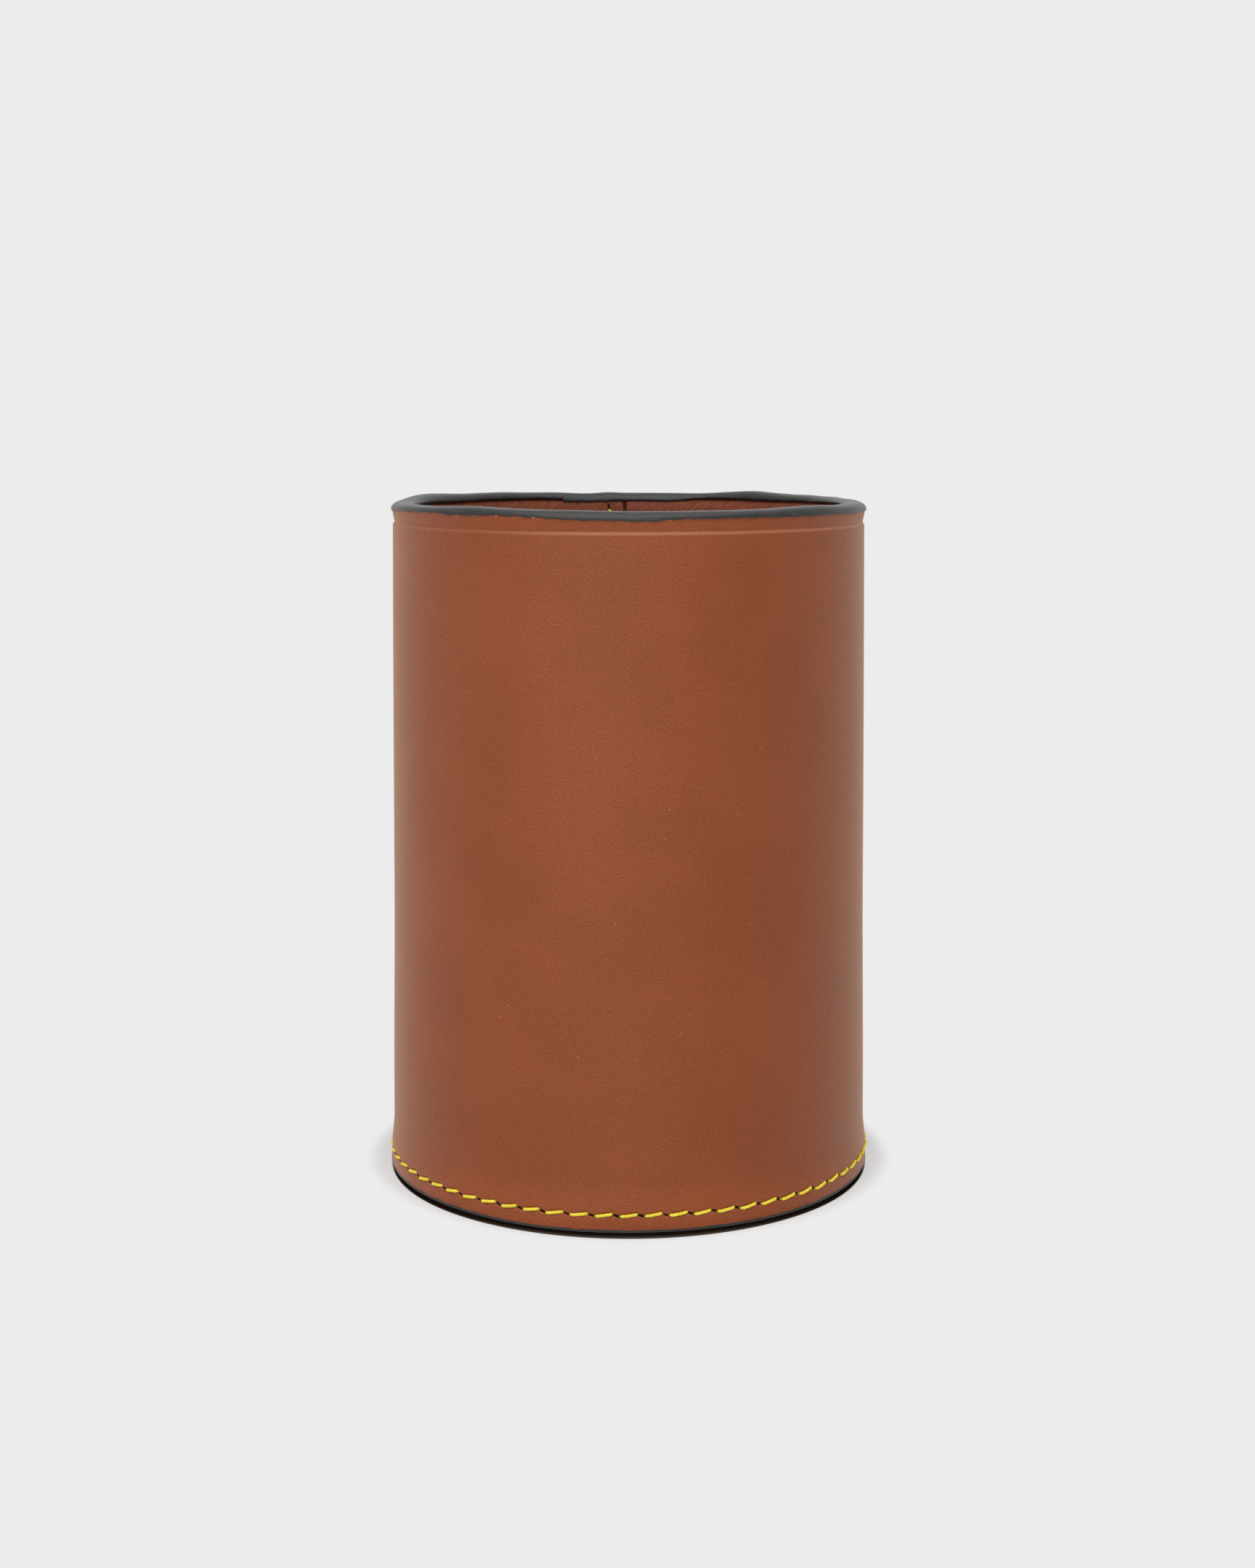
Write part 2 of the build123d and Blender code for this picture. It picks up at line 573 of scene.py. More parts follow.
def turned_mesh(name: str, section: list[Corner], columns: int) -> Mesh:
    """Turns a closed section that reaches the axis.

    Args:
        name: the piece's name.
        section: its corners, as rolled takes them.
        columns: how many sections there are.

    Returns:
        The mesh, with one point where the sections meet on the axis.
    """
    mesh = Mesh(name, *rolled(np.array(section), all_round(columns), whole=True))
    grid = bmesh.new()
    grid.from_mesh(mesh.data)
    bmesh.ops.remove_doubles(grid, verts=grid.verts, dist=SAME_POINT)
    grid.to_mesh(mesh.data)
    grid.free()
    return mesh


@dataclass(frozen=True)
class Cup:
    """The sizes that the pieces share, taken from the frame.

    Attributes:
        outer_radius: the outside of the wall.
        outer_back: the inside of the outer panel.
        lining_back: the outside of the lining panel.
        lining_radius: the inside of the lining.
        base_radius: the outside of the formed base.
        skirt_radius: the inside of the base's turned-down edge.
        leather_foot: where the wall's leather begins, above the bottom coat.
        leather_top: where it ends, under the rim coat.
        height: the top of the rim coat.
        base_top: the top of the formed base.
        floor_radius: the disc that lines the floor.
        floor_top: the top of that disc.
        bevel: how far both panels are bevelled at the rim.
    """

    outer_radius: float
    outer_back: float
    lining_back: float
    lining_radius: float
    base_radius: float
    skirt_radius: float
    leather_foot: float
    leather_top: float
    height: float
    base_top: float
    floor_radius: float
    floor_top: float
    bevel: float = 1.2 * MM

    @staticmethod
    def from_frame() -> "Cup":
        """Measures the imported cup.

        Returns:
            Its sizes.
        """
        wall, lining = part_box("outer_wall")[1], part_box("lining_wall")[1]
        base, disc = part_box("formed_base")[1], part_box("floor_lining")[1]
        return Cup(
            outer_radius=wall.x,
            outer_back=wall.x - OUTER_LEATHER,
            lining_back=lining.x,
            lining_radius=lining.x - LINING_LEATHER,
            base_radius=base.x,
            skirt_radius=base.x - BASE_LEATHER,
            leather_foot=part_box("outer_wall")[0].z,
            leather_top=wall.z,
            height=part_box("rim_edge_coat")[1].z,
            base_top=base.z,
            floor_radius=disc.x,
            floor_top=disc.z,
        )


@dataclass(frozen=True)
class Drape:
    """How far the hand-made wall stands off a plain cylinder: drawn in, and spread a little at its foot.

    Attributes:
        draw_in: how far the wall is drawn in over most of its height.
        ease, ease_span: how much less that is towards the foot, and the levels between which it changes.
        spread, spread_span: how far the sewn foot stands out again, in the same way.
        unevenness: how uneven the wall is.
    """

    draw_in: float = 0.4 * MM
    ease: float = 0.2 * MM
    ease_span: Span = (48 * MM, 14 * MM)
    spread: float = 0.42 * MM
    spread_span: Span = (8 * MM, 2 * MM)
    unevenness: Ripple = Ripple(3, (2, 9), 0.035 * MM, 60.0)

    def at(self, angle: np.ndarray, level: np.ndarray) -> np.ndarray:
        """Returns how far out of its cylinder the outer face is at each place."""
        foot = self.ease * step(level, *self.ease_span) + self.spread * step(level, *self.spread_span)
        return foot - self.draw_in + self.unevenness.at(angle, level)


@dataclass(frozen=True)
class Row:
    """A sewn row: where its stitches lie on a face of the wall.

    Attributes:
        radius: the face that it is sewn through.
        side: the way that face looks.
        run: round the cup, or up the wall.
        count: how many stitches it has.
        start: the angle, or the level, of the first stitch.
        pitch: from one stitch to the next along the row.
        line: the level, or the angle, of the row itself.
        slant_deg: how far a stitch leans out of the row.
        seed: picks the unevenness of its stitches.
        drape: how that face stands off its cylinder, where it does.
        shift, lean_deg, reach, lift: how uneven the stitches are across the row, in slant, length and height.
        slit: how uneven the size of the slits is.
    """

    radius: float
    side: Side
    run: Run
    count: int
    start: float
    pitch: float
    line: float
    slant_deg: float
    seed: int
    drape: Drape | None = None
    shift: float = 0.05 * MM
    lean_deg: float = 1.3
    reach: float = 0.025
    lift: float = 0.025 * MM
    slit: float = 0.09

    def along_across(self, angle: np.ndarray, level: np.ndarray) -> tuple[np.ndarray, np.ndarray]:
        """Measures places from the row.

        Args:
            angle: where each place is round the cup.
            level: how high it is.

        Returns:
            How far each place is along the row from its first stitch, and across it.
        """
        if self.run is Run.ROUND:
            turned = (angle - self.start + 0.5 * self.pitch / self.radius) % TURN
            return turned * self.radius - 0.5 * self.pitch, level - self.line
        off = (angle - self.line + math.pi) % TURN - math.pi
        return self.start - level, off * self.radius

    def spread(self) -> dict[str, np.ndarray]:
        """Draws the small unevenness of hand sewing.

        Returns:
            One value of each kind for each stitch, and one for each slit.
        """
        rng = np.random.default_rng(self.seed)
        return {
            "shift": rng.normal(0, self.shift, self.count),
            "lean": rng.normal(0, math.radians(self.lean_deg), self.count),
            "reach": rng.normal(1, self.reach, self.count),
            "lift": rng.normal(0, self.lift, self.count),
            "phase": rng.uniform(0, TURN, self.count),
            "slit": rng.normal(1, self.slit, self.count + 1),
        }

    def frames(self) -> tuple[np.ndarray, np.ndarray, np.ndarray]:
        """Sets out the stitches.

        Returns:
            For each stitch its middle, its lengthwise direction and the direction out of the leather.
        """
        number = np.arange(self.count)
        zero = np.zeros(self.count)
        spread = self.spread()
        lean = math.radians(self.slant_deg) + spread["lean"]
        if self.run is Run.ROUND:
            angle, level = self.start + number * self.pitch / self.radius, zero + self.line
        else:
            angle, level = zero + self.line, self.start - number * self.pitch
            lean = math.radians(90 + self.slant_deg) + spread["lean"]
        out = np.stack([np.cos(angle), np.sin(angle), zero], -1)
        along = np.stack([-np.sin(angle), np.cos(angle), zero], -1)
        up = np.stack([zero, zero, zero + 1], -1)
        lengthwise = along * np.cos(lean)[:, None] + up * np.sin(lean)[:, None]
        radius = self.radius + (self.drape.at(angle, level) if self.drape else zero)
        middle = out * radius[:, None] + up * level[:, None] + up * spread["shift"][:, None]
        return middle, lengthwise, out * self.side.value


@dataclass(frozen=True)
class Lip:
    """Leather that the awl has pushed up beside a slit: its height, its middle and half of its sizes."""

    height: float
    along: float
    length: float
    across: float
    width: float

    def at(self, along: np.ndarray, across: np.ndarray) -> np.ndarray:
        """Returns how high the lip is at each place, seen from the slit."""
        return self.height * hump(along - self.along, self.length) * hump(across - self.across, self.width)


@dataclass(frozen=True)
class Pricking:
    """What sewing does to the leather: the bed under each stitch, and the awl slits between them.

    Lengths and widths are half of the whole.

    Attributes:
        reach: how far from the row the leather is changed at all.
        bed_length, bed_fade, bed_width, bed_depth: where a stitch presses the leather in.
        bed_shade, bed_shade_width: how dark the painted shade along it is, against a slit's 1.
        ridge_height, ridge_off, ridge_width: how the leather stands up beside it.
        slit_length, slit_width, slit_depth, slit_slant_deg: an awl slit, and how far it leans out of the row.
        slit_edge: where its edge begins to fall and where it is fully deep, from -1 outside to 1 inside.
        lips: the leather pushed up beside a slit.
        pull_width, pull_depth: how the leather is drawn in along the row.
    """

    reach: float = 3 * MM
    bed_length: float = 1.5 * MM
    bed_fade: float = 0.25 * MM
    bed_width: float = 0.4 * MM
    bed_depth: float = 0.16 * MM
    bed_shade: float = 0.5
    bed_shade_width: float = 0.36 * MM
    ridge_height: float = 0.02 * MM
    ridge_off: float = 0.62 * MM
    ridge_width: float = 0.16 * MM
    slit_length: float = 0.65 * MM
    slit_width: float = 0.19 * MM
    slit_depth: float = 0.45 * MM
    slit_edge: Span = (-0.35, 0.8)
    slit_slant_deg: float = -20.0
    lips: tuple[Lip, ...] = (
        Lip(0.06 * MM, 0.35 * MM, 0.42 * MM, -0.4 * MM, 0.15 * MM),
        Lip(0.03 * MM, -0.3 * MM, 0.35 * MM, 0.38 * MM, 0.13 * MM),
    )
    pull_width: float = 0.85 * MM
    pull_depth: float = 0.05 * MM

    def near(self, row: Row, angle: np.ndarray, level: np.ndarray, reach: float) -> np.ndarray:
        """Picks the places close to a row.

        Args:
            row: the sewn row.
            angle: where each place is round the cup.
            level: how high it is.
            reach: how close is close.

        Returns:
            True for each place within reach of the row's line, along its whole length.
        """
        along, across = row.along_across(angle, level)
        length = (row.count - 0.5) * row.pitch
        inside = (along > -0.5 * row.pitch - reach) & (along < length + reach)
        return inside & (np.abs(across) < reach)

    def local(self, row: Row, angle: np.ndarray, level: np.ndarray, slits: bool) -> tuple[np.ndarray, ...]:
        """Measures places from what is nearest to them in a row.

        Args:
            row: the sewn row.
            angle: where each place is round the cup.
            level: how high it is.
            slits: True to measure from the slits, half a step from the stitches, and False from the stitches.

        Returns:
            How far each place is along and across its nearest stitch or slit, and the number of that.
        """
        along, across = row.along_across(angle, level)
        shifted = along / row.pitch + (0.5 if slits else 0.0)
        number = np.clip(np.round(shifted), 0, row.count if slits else row.count - 1).astype(int)
        x = (shifted - number) * row.pitch
        lean = math.radians(self.slit_slant_deg if slits else row.slant_deg)
        if row.run is Run.UPRIGHT:
            x, across = -x, -across
        cos, sin = math.cos(lean), math.sin(lean)
        return x * cos + across * sin, across * cos - x * sin, number

    def relief(self, row: Row, angle: np.ndarray, level: np.ndarray) -> tuple[np.ndarray, np.ndarray]:
        """Presses the row into the leather.

        Args:
            row: the sewn row.
            angle: where each point is round the cup.
            level: how high each point is.

        Returns:
            How far each point is raised out of the face, and how deep in a slit it is, from 0 to 1, with a
            weaker painted shade along each stitch's bed.
        """
        spread = row.spread()
        inside = self.near(row, angle, level, self.reach)
        x, y, number = self.local(row, angle, level, slits=False)
        y = y - spread["shift"][number]
        ends = step(np.abs(x), self.bed_length + self.bed_fade, self.bed_length - self.bed_fade)
        raised = -self.bed_depth * ends * hump(y, self.bed_width)
        ridges = hump(y - self.ridge_off, self.ridge_width) + hump(y + self.ridge_off, self.ridge_width)
        raised += self.ridge_height * ends * ridges
        u, v, slit = self.local(row, angle, level, slits=True)
        scale = spread["slit"][slit]
        across = v / (self.slit_width * scale)
        open_to = 1 - (u / (self.slit_length * scale)) ** 2
        depth = step(open_to - across**2, *self.slit_edge)
        raised -= self.slit_depth * depth
        for lip in self.lips:
            raised += lip.at(u, v)
        raised -= self.pull_depth * hump(row.along_across(angle, level)[1], self.pull_width)
        # Painted shade along each stitch's bed, carried in the same mask as the slits
        depth = np.maximum(depth, self.bed_shade * ends * hump(y, self.bed_shade_width))
        return np.where(inside, raised, 0.0), np.where(inside, depth, 0.0)


@dataclass(frozen=True)
class Sewing:
    """The rows of the cup, in places that the outside and the inside share.

    Attributes:
        base_level, base_count: how high the row round the base is, and how many stitches it has.
        front_deg: where its first stitch is.
        base_seed, seam_seed: pick the unevenness of the stitches.
        seam_row_inset: how far the row up the back is from the lining's open seam.
        seam_top_below_rim, seam_count: how far below the rim its top slit is, and how many stitches it has.
    """

    cup: Cup
    drape: Drape
    base_level: float = 2.7 * MM
    base_count: int = 65
    base_seed: int = 11
    front_deg: float = -90.0
    stitch_pitch: float = 4.0 * MM
    slant_deg: float = 8.8
    seam_row_inset: float = 3.0 * MM
    seam_top_below_rim: float = 2.4 * MM
    seam_count: int = 25
    seam_seed: int = 12

    def base_row(self, side: Side) -> Row:
        """Sets out the row round the base.

        Args:
            side: the wall's outside, or the inside of the base's edge.

        Returns:
            The row.
        """
        radius, drape = self._face(side, self.cup.skirt_radius)
        return Row(
            radius=radius,
            side=side,
            run=Run.ROUND,
            count=self.base_count,
            start=math.radians(self.front_deg),
            pitch=TURN * radius / self.base_count,
            line=self.base_level,
            slant_deg=self.slant_deg,
            seed=self.base_seed,
            drape=drape,
        )

    def seam_row(self, side: Side) -> Row:
        """Sets out the row down the back seam.

        Args:
            side: the wall's outside, or the lining.

        Returns:
            The row.
        """
        radius, drape = self._face(side, self.cup.lining_radius)
        return Row(
            radius=radius,
            side=side,
            run=Run.UPRIGHT,
            count=self.seam_count,
            start=self.cup.height - self.seam_top_below_rim - 0.5 * self.stitch_pitch,
            pitch=self.stitch_pitch,
            line=math.radians(LINING_SEAM_DEG) + self.seam_row_inset / self.cup.lining_radius,
            slant_deg=self.slant_deg,
            seed=self.seam_seed,
            drape=drape,
        )

    def _face(self, side: Side, inside_radius: float) -> tuple[float, Drape | None]:
        """Returns the radius and the drape of the wall's outside, or of a plain face at the inside radius."""
        return (self.cup.outer_radius, self.drape) if side is Side.OUTSIDE else (inside_radius, None)


@dataclass(frozen=True)
class Thread:
    """Three-strand waxed thread, laid in stitches.

    Attributes:
        half_run: half of the length of a stitch that shows.
        past_slit: how far beyond that its ends go on, down in the slits.
        bunching: how much closer the thread's rings stand towards its ends.
        sag, level_share, bury, plunge: how its middle line falls along the run, and goes down into a slit.
        strand, strands: the radius of one strand, and how many there are.
        lay_radius, lay_pitch: from the middle line to a strand's, and the length of one turn.
        stitch_step: how far apart the places of two stitches on the sheet are.
        cell_height: the share of a strand's cell on the bake map that its side takes up.
        cap_columns, cap_size: which columns of that cell its two caps lie in, and half of their sizes.
    """

    half_run: float = 1.35 * MM
    past_slit: float = 0.14 * MM
    bunching: float = 1.35
    sag: float = 0.05 * MM
    bury: float = 0.8 * MM
    level_share: float = 0.62
    plunge: float = 2.6
    strand: float = 0.18 * MM
    strands: int = 3
    lay_radius: float = 0.105 * MM
    lay_pitch: float = 1.5 * MM
    stitch_step: float = 3.0
    cell_height: float = 0.95
    cap_columns: Span = (0.0, 0.55)
    cap_size: Span = (0.2, 0.4)

    def path(self, rings: int) -> np.ndarray:
        """Draws the middle line of one stitch.

        Args:
            rings: how many points it has.

        Returns:
            The points, as rows of how far along and how far out.
        """
        share = np.linspace(-1, 1, rings)
        reach = self.half_run + self.past_slit
        x = reach * np.sign(share) * (1 - (1 - np.abs(share)) ** self.bunching)
        level_run = self.level_share * self.half_run
        past = np.clip((np.abs(x) - level_run) / (reach - level_run), 0, 1)
        z = -self.sag * (x / self.half_run) ** 2 - self.bury * past**self.plunge
        return np.stack([x, z], -1)

    def build(
        self,
        name: str,
        rows: Sequence[tuple[Row, int, int]],
        material: bpy.types.Material,
        stands_for: str,
    ) -> Mesh:
        """Lays the thread of one or more rows and dresses it.

        Args:
            name: the piece's name.
            rows: each row, with the rings and the sides of its strands.
            material: the thread's finish.
            stands_for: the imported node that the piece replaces.

        Returns:
            The piece.
        """
        points, faces, corners, lay = [], [], [], []
        total = 0
        tube = 0
        across = math.ceil(math.sqrt(self.strands * sum(row.count for row, _, _ in rows) / 2))
        for row, rings, sides in rows:
            made, along = self._row_points(row, rings, sides)
            for _ in range(row.count * self.strands):
                cell = (tube % across, tube // across)
                faces += self._tube_faces(total, rings, sides)
                corners += self._tube_corners(cell, (1 / across, 0.5 / across), rings, sides)
                total += rings * sides
                tube += 1
            points.append(made)
            lay.append(along)
        mesh = Mesh(name, np.concatenate(points), faces, np.array(corners))
        mesh.give(Mesh.PLACE, np.concatenate(lay))
        return mesh.finish(material, "yellow_thread", stands_for, sharp_deg=80)

    def _row_points(self, row: Row, rings: int, sides: int) -> tuple[np.ndarray, np.ndarray]:
        """Lays the strands of a whole row.

        Args:
            row: the sewn row.
            rings: how many rings of points each strand has.
            sides: how many points each ring has.

        Returns:
            The points, stitch by stitch and strand by strand, and their places on the thread's sheet.
        """
        spread = row.spread()
        middle, lengthwise, out = row.frames()
        sideways = np.cross(out, lengthwise)
        line = self.path(rings)
        ahead = np.gradient(line, axis=0)
        ahead /= np.linalg.norm(ahead, axis=1, keepdims=True)
        length = np.concatenate([[0], np.cumsum(np.linalg.norm(np.diff(line, axis=0), axis=1))])
        turn = TURN * length / self.lay_pitch
        strand = np.arange(self.strands) * TURN / self.strands
        around = np.arange(sides) * TURN / sides
        lay = turn[None, :, None] + strand[None, None, :] + spread["phase"][:, None, None]
        lift = self.lay_radius * np.cos(lay)[..., None] + self.strand * np.cos(around)
        side = self.lay_radius * np.sin(lay)[..., None] + self.strand * np.sin(around)
        x = line[None, :, 0] * spread["reach"][:, None]
        z = line[None, :, 1] + spread["lift"][:, None]
        along = x[:, :, None, None] - lift * ahead[None, :, 1, None, None]
        above = z[:, :, None, None] + lift * ahead[None, :, 0, None, None]
        placed = middle[:, None, None, None]
        for off, direction in ((along, lengthwise), (above, out), (side, sideways)):
            placed = placed + off[..., None] * direction[:, None, None, None]
        stitch = self.stitch_step * np.arange(row.count)[:, None, None, None]
        place = (length[None, :, None, None] / MM, np.sin(around), np.cos(around) + stitch)
        lay_place = np.stack([np.broadcast_to(part, side.shape) for part in place], -1)
        order = (0, 2, 1, 3, 4)
        return placed.transpose(order).reshape(-1, 3), lay_place.transpose(order).reshape(-1, 3)

    def _tube_faces(self, base: int, rings: int, sides: int) -> list[list[int]]:
        """Joins the points of one strand.

        Args:
            base: the number of its first point.
            rings: how many rings of points it has.
            sides: how many points each ring has.

        Returns:
            The faces of its side, and then its two caps.
        """
        faces = []
        for i in range(rings - 1):
            for k in range(sides):
                here, there = base + i * sides, base + (i + 1) * sides
                after = (k + 1) % sides
                faces.append([here + k, there + k, there + after, here + after])
        faces.append([base + k for k in range(sides)])
        faces.append([base + (rings - 1) * sides + k for k in reversed(range(sides))])
        return faces

    def _tube_corners(self, cell: tuple[int, int], size: Span, rings: int, sides: int) -> list[Corner]:
        """Lays the faces of one strand on the bake map, in the order of _tube_faces.

        Args:
            cell: the column and the row of its own cell.
            size: how large a cell is.
            rings: how many rings of points it has.
            sides: how many points each ring has.

        Returns:
            Where each corner of each face lies.
        """
        corners = []
        spans = rings + 1
        for i in range(rings - 1):
            left, right = i / spans, (i + 1) / spans
            for k in range(sides):
                low, high = self.cell_height * k / sides, self.cell_height * (k + 1) / sides
                corners += [(left, low), (right, low), (right, high), (left, high)]
        turns = [TURN * k / sides for k in range(sides)]
        wide, tall = self.cap_size
        for column in self.cap_columns:
            cap = rings + column
            corners += [((cap + wide * math.cos(t)) / spans, 0.5 + tall * math.sin(t)) for t in turns]
        return [((cell[0] + u) * size[0], (cell[1] + v) * size[1]) for u, v in corners]


@dataclass(frozen=True)
class TanLeather:
    """Smooth cognac calfskin with a fine pebble, light pull lines and a satin dressing.

    Attributes:
        body, raw: the dyed leather, and undyed leather in flecks and in chips beside the paint.
        deep, pale, speck_and_glint, slit: deeper clouds, paler mottle, light tips of the grit that are partly
            a painted glint, and the painted shade inside a slit.
        wander, wander_mm: what bends the pebble and the pull lines, and how far.
        ground, pull_tint, grit_tint: how light the leather is, with its pull lines and its grit.
        pebble_light, pebble_shade: how light a pebble's top is, and how much darker its edge.
        painted_foot_light, painted_light_above_crease: how much lighter the leather is painted at the foot
        and above the crease, where the wall is in shade.
        crease_highlight_foot, crease_highlight_top: where the painted highlight under the crease begins and
        ends, from the crease.
        crease_highlight_least, crease_highlight_more, crease_highlight_span: how strong it is, and how much
        more so at the right.
        chip_span, chip_border: how much is chipped, and how far below the paint.
        bloom, sheen, gloss, specular: the soft bloom of its dressing, and its gloss.
    """

    body: Colour = linear(139, 67, 34)
    deep: Layer = Layer(linear(134, 63, 31), (0.38, 0.62))
    pale: Layer = Layer(linear(146, 73, 36), (0.48, 0.8), 0.35)
    # Light specks on the grit, partly a painted glint on the pebble
    speck_and_glint: Layer = Layer(linear(176, 112, 80), (0.54, 0.7), 0.2)
    # Painted shade inside the awl slits and along each stitch's bed
    slit: Layer = Layer(linear(14, 7, 5), (0.08, 0.45))
    raw: Colour = linear(190, 140, 105)
    clouds: Pattern = Pattern(0.05, 3)
    mottle: Pattern = Pattern(0.55, 4, 0.6)
    grit: Pattern = Pattern(3.6, 2)
    pulls: Pattern = Pattern(1.0, 3, 0.55, -40, (0.35, 1.5, 1.0))
    chips: Pattern = Pattern(1.1, 3, 0.6)
    wander: Pattern = Pattern(0.7)
    wander_mm: float = 0.4
    pebble_turn_deg: float = 12
    pebble_scale: Place = (3.9, 4.7, 1.0)
    pebble_smoothness: float = 0.3
    ground: float = 0.87
    pull_tint: float = 0.08
    grit_tint: float = 0.18
    grit_span: Span = (0.34, 0.64)
    pebble_light: float = 1.06
    pebble_shade: float = 0.16
    # Painted light that lifts the foot and the band above the crease, where the wall is in shade
    painted_foot_light: float = 0.2
    painted_foot_light_span: Span = (1.0, 8.0)
    painted_light_above_crease: float = 0.05
    painted_light_above_span: Span = (0.0, 0.3)
    # A painted highlight along the crease's lower shoulder
    crease_highlight_foot: Span = (-0.7, -0.4)
    crease_highlight_top: Span = (-0.22, 0.0)
    crease_highlight_least: float = 0.15
    crease_highlight_more: float = 0.45
    crease_highlight_span: Span = (88.0, 112.0)
    fleck_scale: float = 0.22
    fleck_span: Span = (0.02, 0.035)
    fleck_share: float = 0.6
    chip_span: Span = (0.6, 0.64)
    chip_border: Span = (0.1, 0.24)
    roughness: float = 0.38
    pebble_rough: float = 0.08
    mottle_rough: float = 0.04
    slit_rough: float = 0.4
    pebble_depth: float = 0.05 * MM
    grit_depth: float = 0.024 * MM
    pull_depth: float = 0.016 * MM
    bloom: Colour = (1.0, 0.6, 0.28)
    sheen: float = 0.34
    sheen_roughness: float = 0.36
    gloss: Colour = (1.0, 0.8, 0.62)
    specular: float = 0.45

    def material(self, crease_mm: float) -> bpy.types.Material:
        """Builds the finish.

        Args:
            crease_mm: the level of the crease, under which a highlight line is painted and above which
                painted light lifts the band.

        Returns:
            The material.
        """
        made = bpy.data.materials.new("tan_leather")
        graph = Graph(made)
        place = graph.hide_place()
        sunk_shade = graph.sunk_shade()
        cloudy, mottle, grit = (pattern.on(place) for pattern in (self.clouds, self.mottle, self.grit))
        wander = graph.tint(self.wander.on(place, output=1), self.wander_mm)
        warped = place + wander
        pulls = self.pulls.on(warped)
        pebbles = graph.stretched(warped, self.pebble_turn_deg, self.pebble_scale)
        soft = {"Vector": pebbles, "Scale": 1.0, "Smoothness": self.pebble_smoothness}
        cells = graph.node("TexVoronoi", {"feature": "SMOOTH_F1"}, soft)
        tone = self.deep.over(self.body, cloudy)
        tone = self.pale.over(tone, mottle)
        high = grit.rise(*self.grit_span)
        tone = graph.tint(tone, self.ground + pulls * self.pull_tint + high * self.grit_tint)
        # Light specks on the grit's tips, partly painted glint on the pebble
        tone = self.speck_and_glint.over(tone, grit)
        tone = graph.tint(tone, self.pebble_light - cells * self.pebble_shade)
        tone = self._painted_light_and_wear(graph, tone, place, crease_mm)
        # Painted shade: near-black in the awl slits, weaker along each stitch's bed
        tone = self.slit.over(tone, sunk_shade)
        rough = self.roughness + cells * self.pebble_rough + mottle * self.mottle_rough
        rough = rough + sunk_shade * self.slit_rough
        coarse = graph.bump(pulls, self.pull_depth)
        pebbled = graph.bump(1 - cells, self.pebble_depth, coarse)
        graph.surface(
            {
                "Base Color": tone,
                "Roughness": rough,
                "IOR": 1.5,
                "Normal": graph.bump(grit, self.grit_depth, pebbled),
                "Specular IOR Level": self.specular,
                "Specular Tint": self.gloss,
                "Sheen Weight": self.sheen,
                "Sheen Roughness": self.sheen_roughness,
                "Sheen Tint": self.bloom,
            }
        )
        return made

    def _painted_light_and_wear(self, graph: Graph, tone: Socket, place: Socket, crease_mm: float) -> Socket:
        """Adds painted light at the foot and above the crease, a painted highlight under the crease, and
        flecks and chips.

        Args:
            graph: the material's node tree.
            tone: the leather's colour.
            place: the place on its sheet.
            crease_mm: the level of the crease.

        Returns:
            The colour with all of that.
        """
        along = graph.node("SeparateXYZ", None, {0: place}, 0)
        level = graph.node("SeparateXYZ", None, {0: place}, 1)
        above, foot, top = (
            level.rise(crease_mm + low, crease_mm + high)
            for low, high in (self.painted_light_above_span, self.crease_highlight_foot, self.crease_highlight_top)
        )
        # Painted light: lighter above the crease and at the foot, where the wall would otherwise fall into
        # shade
        tone = graph.tint(tone, 1 + self.painted_light_above_crease * above)
        tone = graph.tint(tone, 1 + self.painted_foot_light - self.painted_foot_light * level.rise(*self.painted_foot_light_span))
        # Painted highlight: a light line along the crease's lower shoulder, stronger towards the right
        strength = self.crease_highlight_least + self.crease_highlight_more * along.rise(*self.crease_highlight_span)
        tone = graph.mix(foot * (1 - top) * strength, tone, self.speck_and_glint.colour)
        flecks = graph.node("TexVoronoi", {"feature": "F1"}, {"Vector": place, "Scale": self.fleck_scale})
        tone = graph.mix(self.fleck_share * (1 - flecks.rise(*self.fleck_span)), tone, self.raw)
        chips = self.chips.on(place).rise(*self.chip_span)
        return graph.mix(chips * (1 - graph.below_paint().rise(*self.chip_border)), tone, self.raw)


@dataclass(frozen=True)
class FleshLeather:
    """Red-brown leather with a short nap, brushed on the slant.

    Attributes:
        body, deep: the nap's tips, and the leather between them.
        strand_bump, grit_bump: how much of the nap's depth each of the two has.
    """

    name: str
    body: Colour
    deep: Colour
    nap_depth: float
    # Painted shade inside the awl slits and along each stitch's bed
    slit: Layer = Layer(linear(22, 12, 9), (0.15, 0.6))
    strands: Pattern = Pattern(1.0, 4, 0.62, 35, (0.5, 3.2, 1.0))
    clouds: Pattern = Pattern(0.12, 3)
    grit: Pattern = Pattern(4.5, 3, 0.65)
    strand_span: Span = (0.32, 0.7)
    ground: float = 0.78
    cloud_tint: float = 0.28
    grit_tint: float = 0.14
    strand_bump: float = 0.7
    grit_bump: float = 0.5
    roughness: float = 0.7
    grit_rough: float = 0.14

    def material(self) -> bpy.types.Material:
        """Builds the finish.

        Returns:
            The material.
        """
        made = bpy.data.materials.new(self.name)
        graph = Graph(made)
        place = graph.hide_place()
        strands, cloudy, grit = (pattern.on(place) for pattern in (self.strands, self.clouds, self.grit))
        tone = graph.mix(strands.rise(*self.strand_span), self.deep, self.body)
        tone = graph.tint(tone, self.ground + cloudy * self.cloud_tint + grit * self.grit_tint)
        # Painted shade in the awl slits and along each stitch's bed
        tone = self.slit.over(tone, graph.sunk_shade())
        rough = self.roughness + grit * self.grit_rough
        normal = graph.bump(strands * self.strand_bump + grit * self.grit_bump, self.nap_depth)
        graph.surface({"Base Color": tone, "Roughness": rough, "IOR": 1.45, "Normal": normal})
        return made


